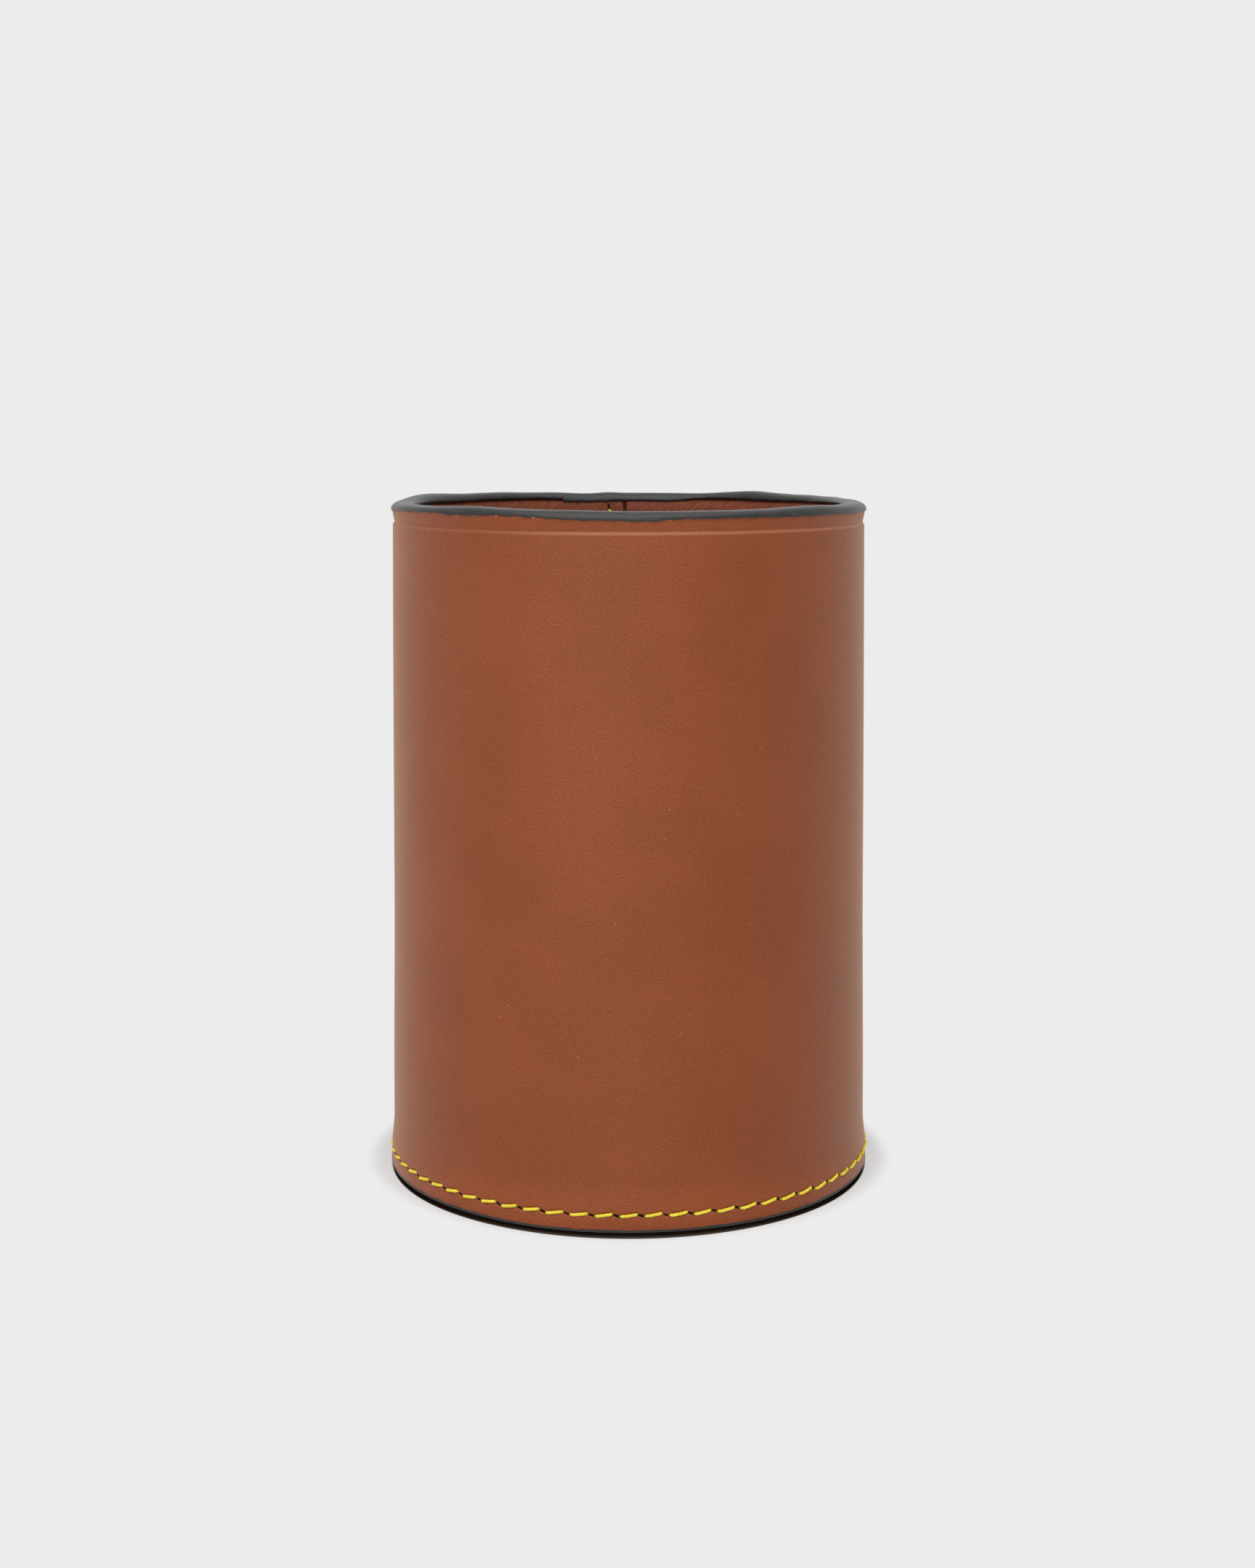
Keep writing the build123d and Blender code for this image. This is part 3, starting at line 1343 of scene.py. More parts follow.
@dataclass(frozen=True)
class EdgePaint:
    """Charcoal edge paint: thick, satin and slightly uneven.

    Attributes:
        body, worn: the fresh paint, and the paint where it is rubbed.
        cloud_wear, grit_wear, brush_wear: where each pattern's wear begins and ends, and how strong it is.
    """

    name: str
    body: Colour
    worn: Colour
    roughness: float
    clouds: Pattern = Pattern(0.35, 3)
    grit: Pattern = Pattern(4.0, 4, 0.65)
    brushed: Pattern = Pattern(1.0, 3, 0.5, 0, (0.5, 2.6, 1.0))
    cloud_wear: tuple[float, float, float] = (0.35, 0.75, 0.3)
    grit_wear: tuple[float, float, float] = (0.5, 0.7, 0.4)
    brush_wear: tuple[float, float, float] = (0.45, 0.65, 0.4)
    ground: float = 0.75
    brush_tint: float = 0.5
    grit_rough: float = 0.14
    cloud_rough: float = 0.06
    grit_bump: float = 0.5
    depth: float = 0.035 * MM
    specular: float = 0.45

    def material(self) -> bpy.types.Material:
        """Builds the finish.

        Returns:
            The material.
        """
        made = bpy.data.materials.new(self.name)
        graph = Graph(made)
        place = graph.hide_place()
        cloudy, grit, brushed = (pattern.on(place) for pattern in (self.clouds, self.grit, self.brushed))
        wear = ((cloudy, self.cloud_wear), (grit, self.grit_wear), (brushed, self.brush_wear))
        first, second, third = (pattern.rise(*span) * strength for pattern, (*span, strength) in wear)
        tone = graph.mix(first + second + third, self.body, self.worn)
        graph.surface(
            {
                "Base Color": graph.tint(tone, self.ground + self.brush_tint * brushed),
                "Roughness": self.roughness + grit * self.grit_rough + cloudy * self.cloud_rough,
                "IOR": 1.5,
                "Normal": graph.bump(grit * self.grit_bump + brushed, self.depth),
                "Specular IOR Level": self.specular,
            }
        )
        return made


@dataclass(frozen=True)
class WaxedThread:
    """Bright yellow polyester thread, lightly waxed.

    Attributes:
        body, shade: the thread in the light, and between its fibres.
        draw: how many fibres there are to a unit each way.
    """

    body: Colour = linear(255, 238, 78)
    shade: Colour = linear(226, 190, 30)
    draw: Place = (1.1, 5.0, 5.0)
    fibres: Pattern = Pattern(1.0, 3)
    uneven: Pattern = Pattern(0.8)
    fibre_span: Span = (0.3, 0.68)
    ground: float = 0.9
    uneven_tint: float = 0.2
    depth: float = 0.02 * MM
    roughness: float = 0.42
    fibre_rough: float = 0.15

    def material(self) -> bpy.types.Material:
        """Builds the finish.

        Returns:
            The material.
        """
        made = bpy.data.materials.new("yellow_thread")
        graph = Graph(made)
        place = graph.hide_place()
        fibres = self.fibres.on(graph.node("VectorMath", {"operation": "MULTIPLY"}, {0: place, 1: self.draw}))
        tone = graph.mix(fibres.rise(*self.fibre_span), self.shade, self.body)
        tone = graph.tint(tone, self.ground + self.uneven.on(place) * self.uneven_tint)
        rough = self.roughness + fibres * self.fibre_rough
        normal = graph.bump(fibres, self.depth)
        graph.surface({"Base Color": tone, "Roughness": rough, "IOR": 1.48, "Normal": normal})
        return made


@dataclass(frozen=True)
class PaintRing:
    """A ring of edge paint while it is built, as one section for each angle.

    Attributes:
        radius, level: one row for each section, and one column for each of its corners.
        angle: where each section stands.
        sheet_radius: the radius at which the finish lies unstretched.
        sheet_height: how high the finish's sheet is, in millimetres, for once round the section.
    """

    radius: np.ndarray
    level: np.ndarray
    angle: np.ndarray
    sheet_radius: float
    sheet_height: float = 12.0

    def dressed(self, name: str, paint: bpy.types.Material, stands_for: str) -> Mesh:
        """Joins the sections and dresses them in the paint.

        Args:
            name: the piece's name.
            paint: its finish.
            stands_for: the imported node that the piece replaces.

        Returns:
            The piece.
        """
        share = shares(np.stack([self.radius.mean(0), self.level.mean(0)], -1))
        column = self.angle[:, None]
        faces = ring_faces(len(self.angle), share, whole=True)
        mesh = Mesh(name, polar(self.radius, column, self.level), *faces)
        place = [column * self.sheet_radius / MM, share[None, :-1] * self.sheet_height, 0.0]
        mesh.give(Mesh.PLACE, np.stack(np.broadcast_arrays(*place), -1).reshape(-1, 3))
        return mesh.finish(paint, "edge_paint", stands_for, sharp_deg=70)


@dataclass
class RimCoat:
    """The bead of edge paint on the rim, domed over both bevels, with a wavy top and ragged borders.

    Attributes:
        foot_below_top, inner_foot_below_top: how far below the rim its outer and inner borders are.
        lap_step: how much lower the inner one is behind the lap, where the paint was laid on thicker.
        lap_deg, lap_fade_deg: where that begins and ends, and how gradually.
        outer_bulge, inner_bulge: how far the bead stands out of the wall on either side.
        roundness: how round the dome is: 1 for round, and less for fuller.
        turn_in: how far above its border the bead begins to round over.
        fray_fall: how soon the border's raggedness is lost further up.
        tuck, seat_inset, seat_depth: how far the borders are let into the leather, and where the bead sits.
        rises, runs: where the top rises, and where the paint has run down on the outside.
    """

    cup: Cup
    foot_below_top: float = 1.32 * MM
    inner_foot_below_top: float = 0.8 * MM
    lap_step: float = 0.6 * MM
    lap_deg: Span = (80.0, 109.2)
    lap_fade_deg: Span = (12.0, 0.4)
    outer_bulge: float = -0.04 * MM
    inner_bulge: float = 0.14 * MM
    roundness: float = 0.78
    column_count: int = 1300
    dome_rows: int = 20
    turn_in: float = 0.12 * MM
    fray_fall: int = 4
    tuck: float = 0.05 * MM
    seat_inset: Span = (0.6 * MM, 0.65 * MM)
    seat_depth: float = 0.6 * MM
    top_wave: Ripple = Ripple(44, (3, 16), 0.03 * MM)
    outer_wave: Ripple = Ripple(42, (4, 22), 0.04 * MM)
    inner_wave: Ripple = Ripple(33, (3, 15), 0.07 * MM)
    outer_frays: tuple[Ripple, ...] = (
        Ripple(41, (60, 300), 0.016 * MM, waves=40),
        Ripple(46, (18, 90), 0.045 * MM, waves=20),
    )
    inner_fray: Ripple = Ripple(43, (60, 300), 0.04 * MM, waves=40)
    dents: Ripple = Ripple(45, (6, 40), 0.012 * MM, 400.0, 24)
    rises: tuple[Wave, ...] = (
        Wave(156, 16, 0.75 * MM),
        Wave(90, 50, 0.14 * MM),
        Wave(127, 12, 0.5 * MM),
        Wave(38, 26, 0.36 * MM),
        Wave(233, 17, 0.3 * MM),
        Wave(273, 26, -0.16 * MM),
        Wave(320, 15, 0.26 * MM),
        Wave(111, 5, 0.2 * MM),
        Wave(96, 3.5, 0.17 * MM),
        Wave(55, 9, 0.4 * MM),
    )
    runs: tuple[Wave, ...] = (
        Wave(268, 13, 0.28 * MM),
        Wave(212, 17, -0.4 * MM),
        Wave(243, 10, -0.32 * MM),
        Wave(358, 9, 0.2 * MM),
    )

    def top(self, angle: np.ndarray) -> np.ndarray:
        """Returns how high the bead is at each angle."""
        return self.cup.height + self.top_wave.at(angle) + sum(wave.at(angle) for wave in self.rises)

    def outer_foot(self, angle: np.ndarray) -> np.ndarray:
        """Returns how high the paint's outer border is, without its raggedness."""
        runs = sum(wave.at(angle) for wave in self.runs)
        return self.cup.height - self.foot_below_top - runs + self.outer_wave.at(angle)

    def inner_foot(self, angle: np.ndarray) -> np.ndarray:
        """Draws the paint's inner border, which is lower behind the lap.

        Args:
            angle: the angles at which it is wanted.

        Returns:
            How high it is there, without its raggedness.
        """
        turned = np.degrees(angle) % 360
        (begin, end), (fade_in, fade_out) = self.lap_deg, self.lap_fade_deg
        lap = step(turned, end + fade_out, end) * step(turned, begin - fade_in, begin)
        return self.cup.height - self.inner_foot_below_top - self.lap_step * lap + self.inner_wave.at(angle)

    def build(self, paint: bpy.types.Material) -> Mesh:
        """Builds the bead and dresses it.

        Args:
            paint: its finish.

        Returns:
            The piece.
        """
        cup = self.cup
        angle = all_round(self.column_count)
        outer_fray = sum(ripple.at(angle) for ripple in self.outer_frays)
        inner_fray = self.inner_fray.at(angle)
        outer_foot, inner_foot = self.outer_foot(angle), self.inner_foot(angle)
        outer, inner = cup.outer_radius + self.outer_bulge, cup.lining_radius - self.inner_bulge
        turn = np.linspace(0, math.pi, self.dome_rows)[None, :]
        cos, sin = np.cos(turn), np.sin(turn)
        radius = (outer + inner) / 2 + (outer - inner) / 2 * np.sign(cos) * np.abs(cos) ** self.roundness
        foot = np.where(cos > 0, outer_foot[:, None], inner_foot[:, None]) + self.turn_in
        rise = np.abs(sin) ** self.roundness
        fray = np.where(cos > 0, outer_fray[:, None], inner_fray[:, None]) * (1 - rise) ** self.fray_fall
        level = foot + (self.top(angle)[:, None] - foot) * rise + fray
        dents = self.dents.at(angle[:, None], level)
        radius = radius + dents * cos
        level = level + dents * sin
        seat = np.full_like(angle, cup.leather_top - self.seat_depth)
        under = (
            (inner + self.tuck, inner_foot + inner_fray),
            (inner + self.seat_inset[0], seat),
            (outer - self.seat_inset[1], seat),
            (outer - self.tuck, outer_foot + outer_fray),
        )
        for at, height in under:
            radius = np.concatenate([radius, np.full((len(angle), 1), at)], 1)
            level = np.concatenate([level, height[:, None]], 1)
        ring = PaintRing(radius, level, angle, cup.outer_radius)
        return ring.dressed("rim_edge_paint", paint, "rim_edge_coat")


@dataclass(kw_only=True)
class Panel(ABC):
    """A panel of the wall: rolled round the axis, open along one seam, and sewn.

    Attributes:
        reaches: how close to a row the faces are halved once, then again, and so on.
        slit_level, slit_reach: which of these times is for the slits alone, and how far along and across one.
        back_weight: how much room the last sides of the section get on the bake map.
        edge_fall, edge_width: how the face falls off at the seam.
    """

    cup: Cup
    sewing: Sewing
    seam_deg: float
    seam_gap: float
    column_count: int
    reaches: tuple[float, ...]
    slit_level: int = 3
    slit_reach: Span = (0.9 * MM, 0.4 * MM)
    back_weight: tuple[float, ...]
    edge_fall: float
    edge_width: float

    @property
    @abstractmethod
    def face_radius(self) -> float:
        """The radius of the face that shows."""

    @property
    @abstractmethod
    def rows(self) -> tuple[Row, ...]:
        """The sewn rows on that face."""

    def roll(self, name: str, section: list[Corner]) -> Mesh:
        """Rolls the panel and halves its faces along the rows.

        Args:
            name: the piece's name.
            section: its corners as pairs of radius and level.

        Returns:
            The panel, before its face is shaped.
        """
        half_gap = 0.5 * self.seam_gap / self.face_radius
        angles = math.radians(self.seam_deg) + np.linspace(half_gap, TURN - half_gap, self.column_count + 1)
        weight = np.array([1.0] * (len(section) - len(self.back_weight)) + list(self.back_weight))
        mesh = Mesh(name, *rolled(np.array(section), angles, False, weight))
        mesh.refine(self._fine_regions, len(self.reaches))
        return mesh

    def _fine_regions(self, level: int, middles: np.ndarray) -> np.ndarray:
        """Picks the faces that are halved.

        Args:
            level: how often that was done before.
            middles: the middles of the faces.

        Returns:
            True for each face that is halved.
        """
        pricking = Pricking()
        radius, angle, height = cylindrical(middles)
        near = np.zeros(len(middles), bool)
        for row in self.rows:
            band = pricking.near(row, angle, height, self.reaches[level])
            if level == self.slit_level:
                u, v, _ = pricking.local(row, angle, height, slits=True)
                band &= (np.abs(u) < self.slit_reach[0]) & (np.abs(v) < self.slit_reach[1])
            near |= band
        return self.on_face(radius) & near

    def on_face(self, radius: np.ndarray) -> np.ndarray:
        """Returns which points of the rolled panel lie on the face that shows."""
        return np.abs(radius - self.face_radius) < FACE_REACH

    def press(self, angle: np.ndarray, level: np.ndarray) -> tuple[np.ndarray, np.ndarray]:
        """Presses the rows into the leather, and lets it fall off at the seam.

        Args:
            angle: where each point is round the cup.
            level: how high it is.

        Returns:
            How far each point is raised out of the face, and how deep in a slit it is, from 0 to 1, which the
            finish paints as shade.
        """
        raised = -self.edge_fall * hump(self.seam_distance(angle), self.edge_width)
        sunk_shade = np.zeros(len(angle))
        for row in self.rows:
            up, depth = Pricking().relief(row, angle, level)
            raised += up
            sunk_shade = np.maximum(sunk_shade, depth)
        return raised, sunk_shade

    def from_seam(self, angle: np.ndarray) -> np.ndarray:
        """Returns how far round from the seam each angle is, from 0 to a whole turn."""
        return (angle - math.radians(self.seam_deg)) % TURN

    def seam_distance(self, angle: np.ndarray) -> np.ndarray:
        """Returns how far each angle is from the nearest edge at the seam, in metres along the face."""
        turned = self.from_seam(angle)
        return np.minimum(turned, TURN - turned) * self.face_radius - 0.5 * self.seam_gap

    def lay_out(self, mesh: Mesh, angle: np.ndarray, level: np.ndarray, sunk_shade: np.ndarray) -> None:
        """Gives the finish what it reads.

        Args:
            mesh: the shaped panel.
            angle: where each point is round the cup.
            level: how high it is.
            sunk_shade: how deep in a slit it is, which the finish paints as shade.
        """
        place = np.stack([self.from_seam(angle) * self.face_radius, level, np.zeros(len(level))], -1)
        mesh.give(Mesh.PLACE, place / MM)
        mesh.give(Mesh.SUNK_SHADE, sunk_shade)


@dataclass(kw_only=True)
class OuterWall(Panel):
    """The outer panel: rolled, creased under the rim and sewn, with its ends butted at the back.

    Attributes:
        foot_band, foot_step, sewn_band, crease_band: where the rows of faces are close together.
        row_counts: how many rows there are from each of these levels to the next, and to the top.
        crease_fall, crease_wave: how far below the creased line the wall is pressed in, and how uneven it is.
        flare: how far the wall stands out again at its top.
        edge_shade_width: how far from the seam the cut edge is dark.
        overlap: how far the face goes on under the paint.
        stretch_from: how far above the crease it begins to follow the paint's border.
    """

    seam_deg: float = 107.9
    seam_gap: float = 0.16 * MM
    column_count: int = 250
    reaches: tuple[float, ...] = (1.6 * MM, 1.2 * MM, 0.75 * MM, 0.75 * MM)
    back_weight: tuple[float, ...] = (0.4, 0.3, 0.08, 0.3)
    edge_fall: float = 0.3 * MM
    edge_width: float = 0.2 * MM
    rim: RimCoat
    foot_band: float = 0.5 * MM
    foot_step: float = 0.1 * MM
    sewn_band: float = 5.5 * MM
    crease_band: Span = (1.1 * MM, 0.5 * MM)
    row_counts: tuple[int, ...] = (10, 55, 22, 5)
    crease_below_rim: float = 3.28 * MM
    crease_depth: float = 0.27 * MM
    crease_fall: float = 0.7 * MM
    crease_wave: Ripple = Ripple(5, (3, 14), 0.04 * MM)
    flare: float = 0.12 * MM
    edge_shade_width: float = 0.13 * MM
    overlap: float = 0.15 * MM
    stretch_from: float = 0.3 * MM

    @property
    def face_radius(self) -> float:
        """The radius of the outside, before the wall is draped."""
        return self.cup.outer_radius

    @property
    def rows(self) -> tuple[Row, ...]:
        """The row round the base, and the row down the back."""
        return self.sewing.base_row(Side.OUTSIDE), self.sewing.seam_row(Side.OUTSIDE)

    @property
    def crease_level(self) -> float:
        """How high the creased line is."""
        return self.cup.height - self.crease_below_rim

    def levels(self) -> np.ndarray:
        """Sets out the rows of faces: close together at the foot, the sewing and the crease.

        Returns:
            Their levels, upwards.
        """
        foot, crease = self.cup.leather_foot, self.crease_level
        marks = (
            foot + self.foot_band,
            self.sewing.base_level + self.sewn_band,
            crease - self.crease_band[0],
            crease + self.crease_band[1],
            self.cup.leather_top - self.cup.bevel,
        )
        spans = [np.linspace(*span)[:-1] for span in zip(marks, marks[1:], self.row_counts, strict=False)]
        return np.concatenate([np.arange(foot, marks[0], self.foot_step), *spans, marks[-1:]])

    def shape(self, angle: np.ndarray, level: np.ndarray) -> np.ndarray:
        """Drapes and creases the wall.

        Args:
            angle: where each place is round the cup.
            level: how high it is.

        Returns:
            How far the outer face stands off its plain cylinder there, before the sewing.
        """
        off = level - self.crease_level - self.crease_wave.at(angle)
        climb = np.clip(off / (self.cup.leather_top - self.cup.bevel - self.crease_level), 0, 1)
        groove = np.where(off > 0, 1 - climb, step(-off, self.crease_fall, 0.0))
        return self.sewing.drape.at(angle, level) + self.flare * climb - self.crease_depth * groove

    def seam_distance(self, angle: np.ndarray) -> np.ndarray:
        """Returns how far each angle is from the middle of the butted seam, in metres along the face."""
        return super().seam_distance(angle) + 0.5 * self.seam_gap

    def build(self, leather: bpy.types.Material) -> Mesh:
        """Builds the panel and dresses it.

        Args:
            leather: its finish.

        Returns:
            The piece.
        """
        cup = self.cup
        levels = self.levels()
        section = [(cup.outer_radius, level) for level in levels]
        section.append((cup.outer_radius - cup.bevel, cup.leather_top))
        section.append((cup.outer_back, cup.leather_top))
        section.append((cup.outer_back, cup.leather_foot))
        mesh = self.roll("outer_wall_leather", section)
        radius, angle, level = cylindrical(mesh.points)
        on_face = self.on_face(radius)
        raised, sunk_shade = self.press(angle, level)
        raised += self.shape(angle, level)
        sunk_shade = np.maximum(sunk_shade, hump(self.seam_distance(angle), self.edge_shade_width))
        border = self.rim.outer_foot(angle)
        climb = step(level, self.crease_level + self.stretch_from, levels[-1])
        level = level + (border + self.overlap - levels[-1]) * on_face * climb
        mesh.points = polar(np.where(on_face, cup.outer_radius + raised, radius), angle, level)
        self.lay_out(mesh, angle, level, np.where(on_face, sunk_shade, 0.0))
        mesh.give(Mesh.BELOW_PAINT, (border - level) / MM)
        return mesh.finish(leather, "tan_leather", "outer_wall")


@dataclass(kw_only=True)
class LiningWall(Panel):
    """The lining panel, whose ends leave an open gap beside the sewn row."""

    seam_deg: float = LINING_SEAM_DEG
    seam_gap: float = 0.7 * MM
    column_count: int = 260
    reaches: tuple[float, ...] = (1.6 * MM, 1.2 * MM, 0.9 * MM)
    back_weight: tuple[float, ...] = (0.3, 0.08, 0.3, 0.4)
    edge_fall: float = 0.2 * MM
    edge_width: float = 0.16 * MM
    row_count: int = 64
    unevenness: Ripple = Ripple(21, (2, 8), 0.03 * MM, 50.0)

    @property
    def face_radius(self) -> float:
        """The radius of the inside."""
        return self.cup.lining_radius

    @property
    def rows(self) -> tuple[Row, ...]:
        """The row down the back."""
        return (self.sewing.seam_row(Side.INSIDE),)

    def build(self, leather: bpy.types.Material) -> Mesh:
        """Builds the panel and dresses it.

        Args:
            leather: its finish.

        Returns:
            The piece.
        """
        cup = self.cup
        levels = np.linspace(cup.leather_top - cup.bevel, cup.leather_foot, self.row_count + 1)
        section = [(cup.lining_radius, level) for level in levels]
        section.append((cup.lining_back, cup.leather_foot))
        section.append((cup.lining_back, cup.leather_top))
        section.append((cup.lining_radius + cup.bevel, cup.leather_top))
        mesh = self.roll("lining_wall_leather", section)
        radius, angle, level = cylindrical(mesh.points)
        on_face = self.on_face(radius)
        raised, sunk_shade = self.press(angle, level)
        raised += self.unevenness.at(angle, level)
        mesh.points = polar(np.where(on_face, cup.lining_radius - raised, radius), angle, level)
        self.lay_out(mesh, angle, level, np.where(on_face, sunk_shade, 0.0))
        return mesh.finish(leather, "lining_leather", "lining_wall")


@dataclass
class BottomCoat:
    """The coat of edge paint that the cup stands on: a small round bead, lapped up over the leather's edge.

    Attributes:
        corner, bead, proud: the radii of its inner and outer edges, and how far the outer one stands out.
        skins: how thick the paint is on the leather, at the lap's foot and at its border.
        seat_inset: how far inside the wall's face the lap's back is.
        corner_count, bead_count: how many corners its inner and outer edges have.
        bead_arc_deg: from where to where the bead goes round.
    """

    cup: Cup
    drape: Drape
    column_count: int = 1040
    corner: float = 0.14 * MM
    bead: float = 0.15 * MM
    proud: float = 0.04 * MM
    lap: float = 0.12 * MM
    least_lap: float = 0.02 * MM
    lap_wave: Ripple = Ripple(51, (8, 120), 0.035 * MM, waves=40)
    skins: Span = (0.035 * MM, 0.025 * MM)
    seat_inset: float = 0.25 * MM
    corner_count: int = 5
    bead_count: int = 8
    bead_arc_deg: Span = (-90.0, 30.0)

    def build(self, paint: bpy.types.Material) -> Mesh:
        """Builds the ring and dresses it.

        Args:
            paint: its finish.

        Returns:
            The piece.
        """
        angle = all_round(self.column_count)
        top, inner = self.cup.leather_foot, self.cup.skirt_radius
        outer = self.cup.outer_radius + self.drape.at(angle, np.full_like(angle, top))
        lap = np.clip(self.lap + self.lap_wave.at(angle), self.least_lap, None)
        flat = np.ones_like(angle)
        turns = np.linspace(0, math.pi / 2, self.corner_count)
        section = [(inner + self.corner * (1 - math.cos(t)), self.corner * (1 - math.sin(t))) for t in turns]
        middle = outer + self.proud - self.bead
        turns = np.radians(np.linspace(*self.bead_arc_deg, self.bead_count))
        section += [(middle + self.bead * math.cos(t), self.bead * (1 + math.sin(t))) for t in turns]
        section += [
            (outer + self.skins[0], top),
            (outer + self.skins[1], top + lap),
            (outer - self.seat_inset, top + 0.5 * lap),
            (inner, top),
        ]
        radius, level = (np.stack([flat * value for value in values], 1) for values in zip(*section))
        ring = PaintRing(radius, level, angle, self.cup.outer_radius)
        return ring.dressed("bottom_edge_paint", paint, "bottom_edge_coat")


@dataclass
class FormedBase:
    """The base: a wet-formed disc whose edge turns down inside the wall.

    Attributes:
        skirt_rows, disc_rings: how many rows of corners the turned-down edge and the disc have.
        skirt_sheet: how far the edge's sheet is from the disc's, so that their finishes differ.
    """

    cup: Cup
    sewing: Sewing
    leather: float = BASE_LEATHER
    inner_bend: float = 1.2 * MM
    column_count: int = 520
    bend_corners: int = 9
    skirt_rows: int = 22
    disc_rings: int = 14
    slit_depth: float = 0.5 * MM
    skirt_sheet: float = 50 * MM

    def build(self, leather: bpy.types.Material) -> Mesh:
        """Builds the base and dresses it.

        Args:
            leather: its finish.

        Returns:
            The piece.
        """
        cup = self.cup
        outer, inner = cup.base_radius, cup.skirt_radius
        top, under = cup.base_top, cup.base_top - self.leather
        outer_bend = self.inner_bend + self.leather
        skirt_top = under - self.inner_bend
        bend_out = rounded(outer, top, outer_bend, self.bend_corners)
        bend_in = reversed(rounded(inner, under, self.inner_bend, self.bend_corners))
        skirt = [(inner, z) for z in np.linspace(skirt_top, cup.leather_foot, self.skirt_rows)[1:]]
        inwards = [(r, top) for r in np.linspace(outer - outer_bend, 0, self.disc_rings)[1:]]
        outwards = [(r, under) for r in np.linspace(0, inner - self.inner_bend, self.disc_rings)[:-1]]
        section = [(outer, cup.leather_foot), *bend_out, *inwards, *outwards, *bend_in, *skirt]
        mesh = turned_mesh("formed_base_leather", section, self.column_count)
        radius, angle, level = cylindrical(mesh.points)
        on_skirt = (np.abs(radius - inner) < HAIR) & (level < skirt_top + HAIR)
        pricking = Pricking(slit_depth=self.slit_depth)
        raised, sunk_shade = pricking.relief(self.sewing.base_row(Side.INSIDE), angle, level)
        radius = np.where(on_skirt, radius - raised, radius)
        mesh.points = polar(radius, angle, level)
        upright = np.stack([angle * inner, level, np.full(len(level), self.skirt_sheet)], -1)
        mesh.give(Mesh.PLACE, np.where(on_skirt[:, None], upright, polar(radius, angle, level)) / MM)
        mesh.give(Mesh.SUNK_SHADE, np.where(on_skirt, sunk_shade, 0.0))
        return mesh.finish(leather, "base_leather", "formed_base")


@dataclass
class FloorLining:
    """The disc that lines the floor, a little dished and soft at its edge."""

    cup: Cup
    edge: float = 0.35 * MM
    edge_corners: int = 6
    dish: float = 0.08 * MM
    wave: Ripple = Ripple(61, (1, 6), 0.08 * MM)
    column_count: int = 360
    disc_rings: int = 40

    def build(self, leather: bpy.types.Material) -> Mesh:
        """Builds the disc and dresses it.

        Args:
            leather: its finish.

        Returns:
            The piece.
        """
        foot, top, outer = self.cup.base_top, self.cup.floor_top, self.cup.floor_radius
        edge = rounded(outer, top, self.edge, self.edge_corners)
        inwards = [(r, top) for r in np.linspace(outer - self.edge, 0, self.disc_rings)[1:]]
        section = [(outer, foot), *edge, *inwards, (0.0, foot)]
        mesh = turned_mesh("floor_lining_leather", section, self.column_count)
        points = mesh.points
        radius, angle, level = cylindrical(points)
        sag = self.wave.at(angle) * (radius / outer) ** 2 - self.dish
        points[:, 2] += np.where(level > top - HAIR, sag, 0.0)
        mesh.points = points
        mesh.give(Mesh.PLACE, points / MM)
        mesh.give(Mesh.SUNK_SHADE, np.zeros(len(points)))
        return mesh.finish(leather, "lining_leather", "floor_lining")


@dataclass(frozen=True)
class SoftBox:
    """A soft lamp that faces the middle of the cup."""

    name: str
    place: Place
    size: Span
    watts: float
    aim: Place = (0.0, 0.0, 0.057)

    def hang(self) -> None:
        """Hangs the lamp, where the camera doesn't see it."""
        data = bpy.data.lights.new(self.name, "AREA")
        data.shape = "RECTANGLE"
        data.size, data.size_y = self.size
        data.energy = self.watts
        made = bpy.data.objects.new(self.name, data)
        made.location = self.place
        made.rotation_euler = (Vector(self.aim) - Vector(self.place)).to_track_quat("-Z", "Y").to_euler()
        made.visible_camera = False
        bpy.context.scene.collection.objects.link(made)


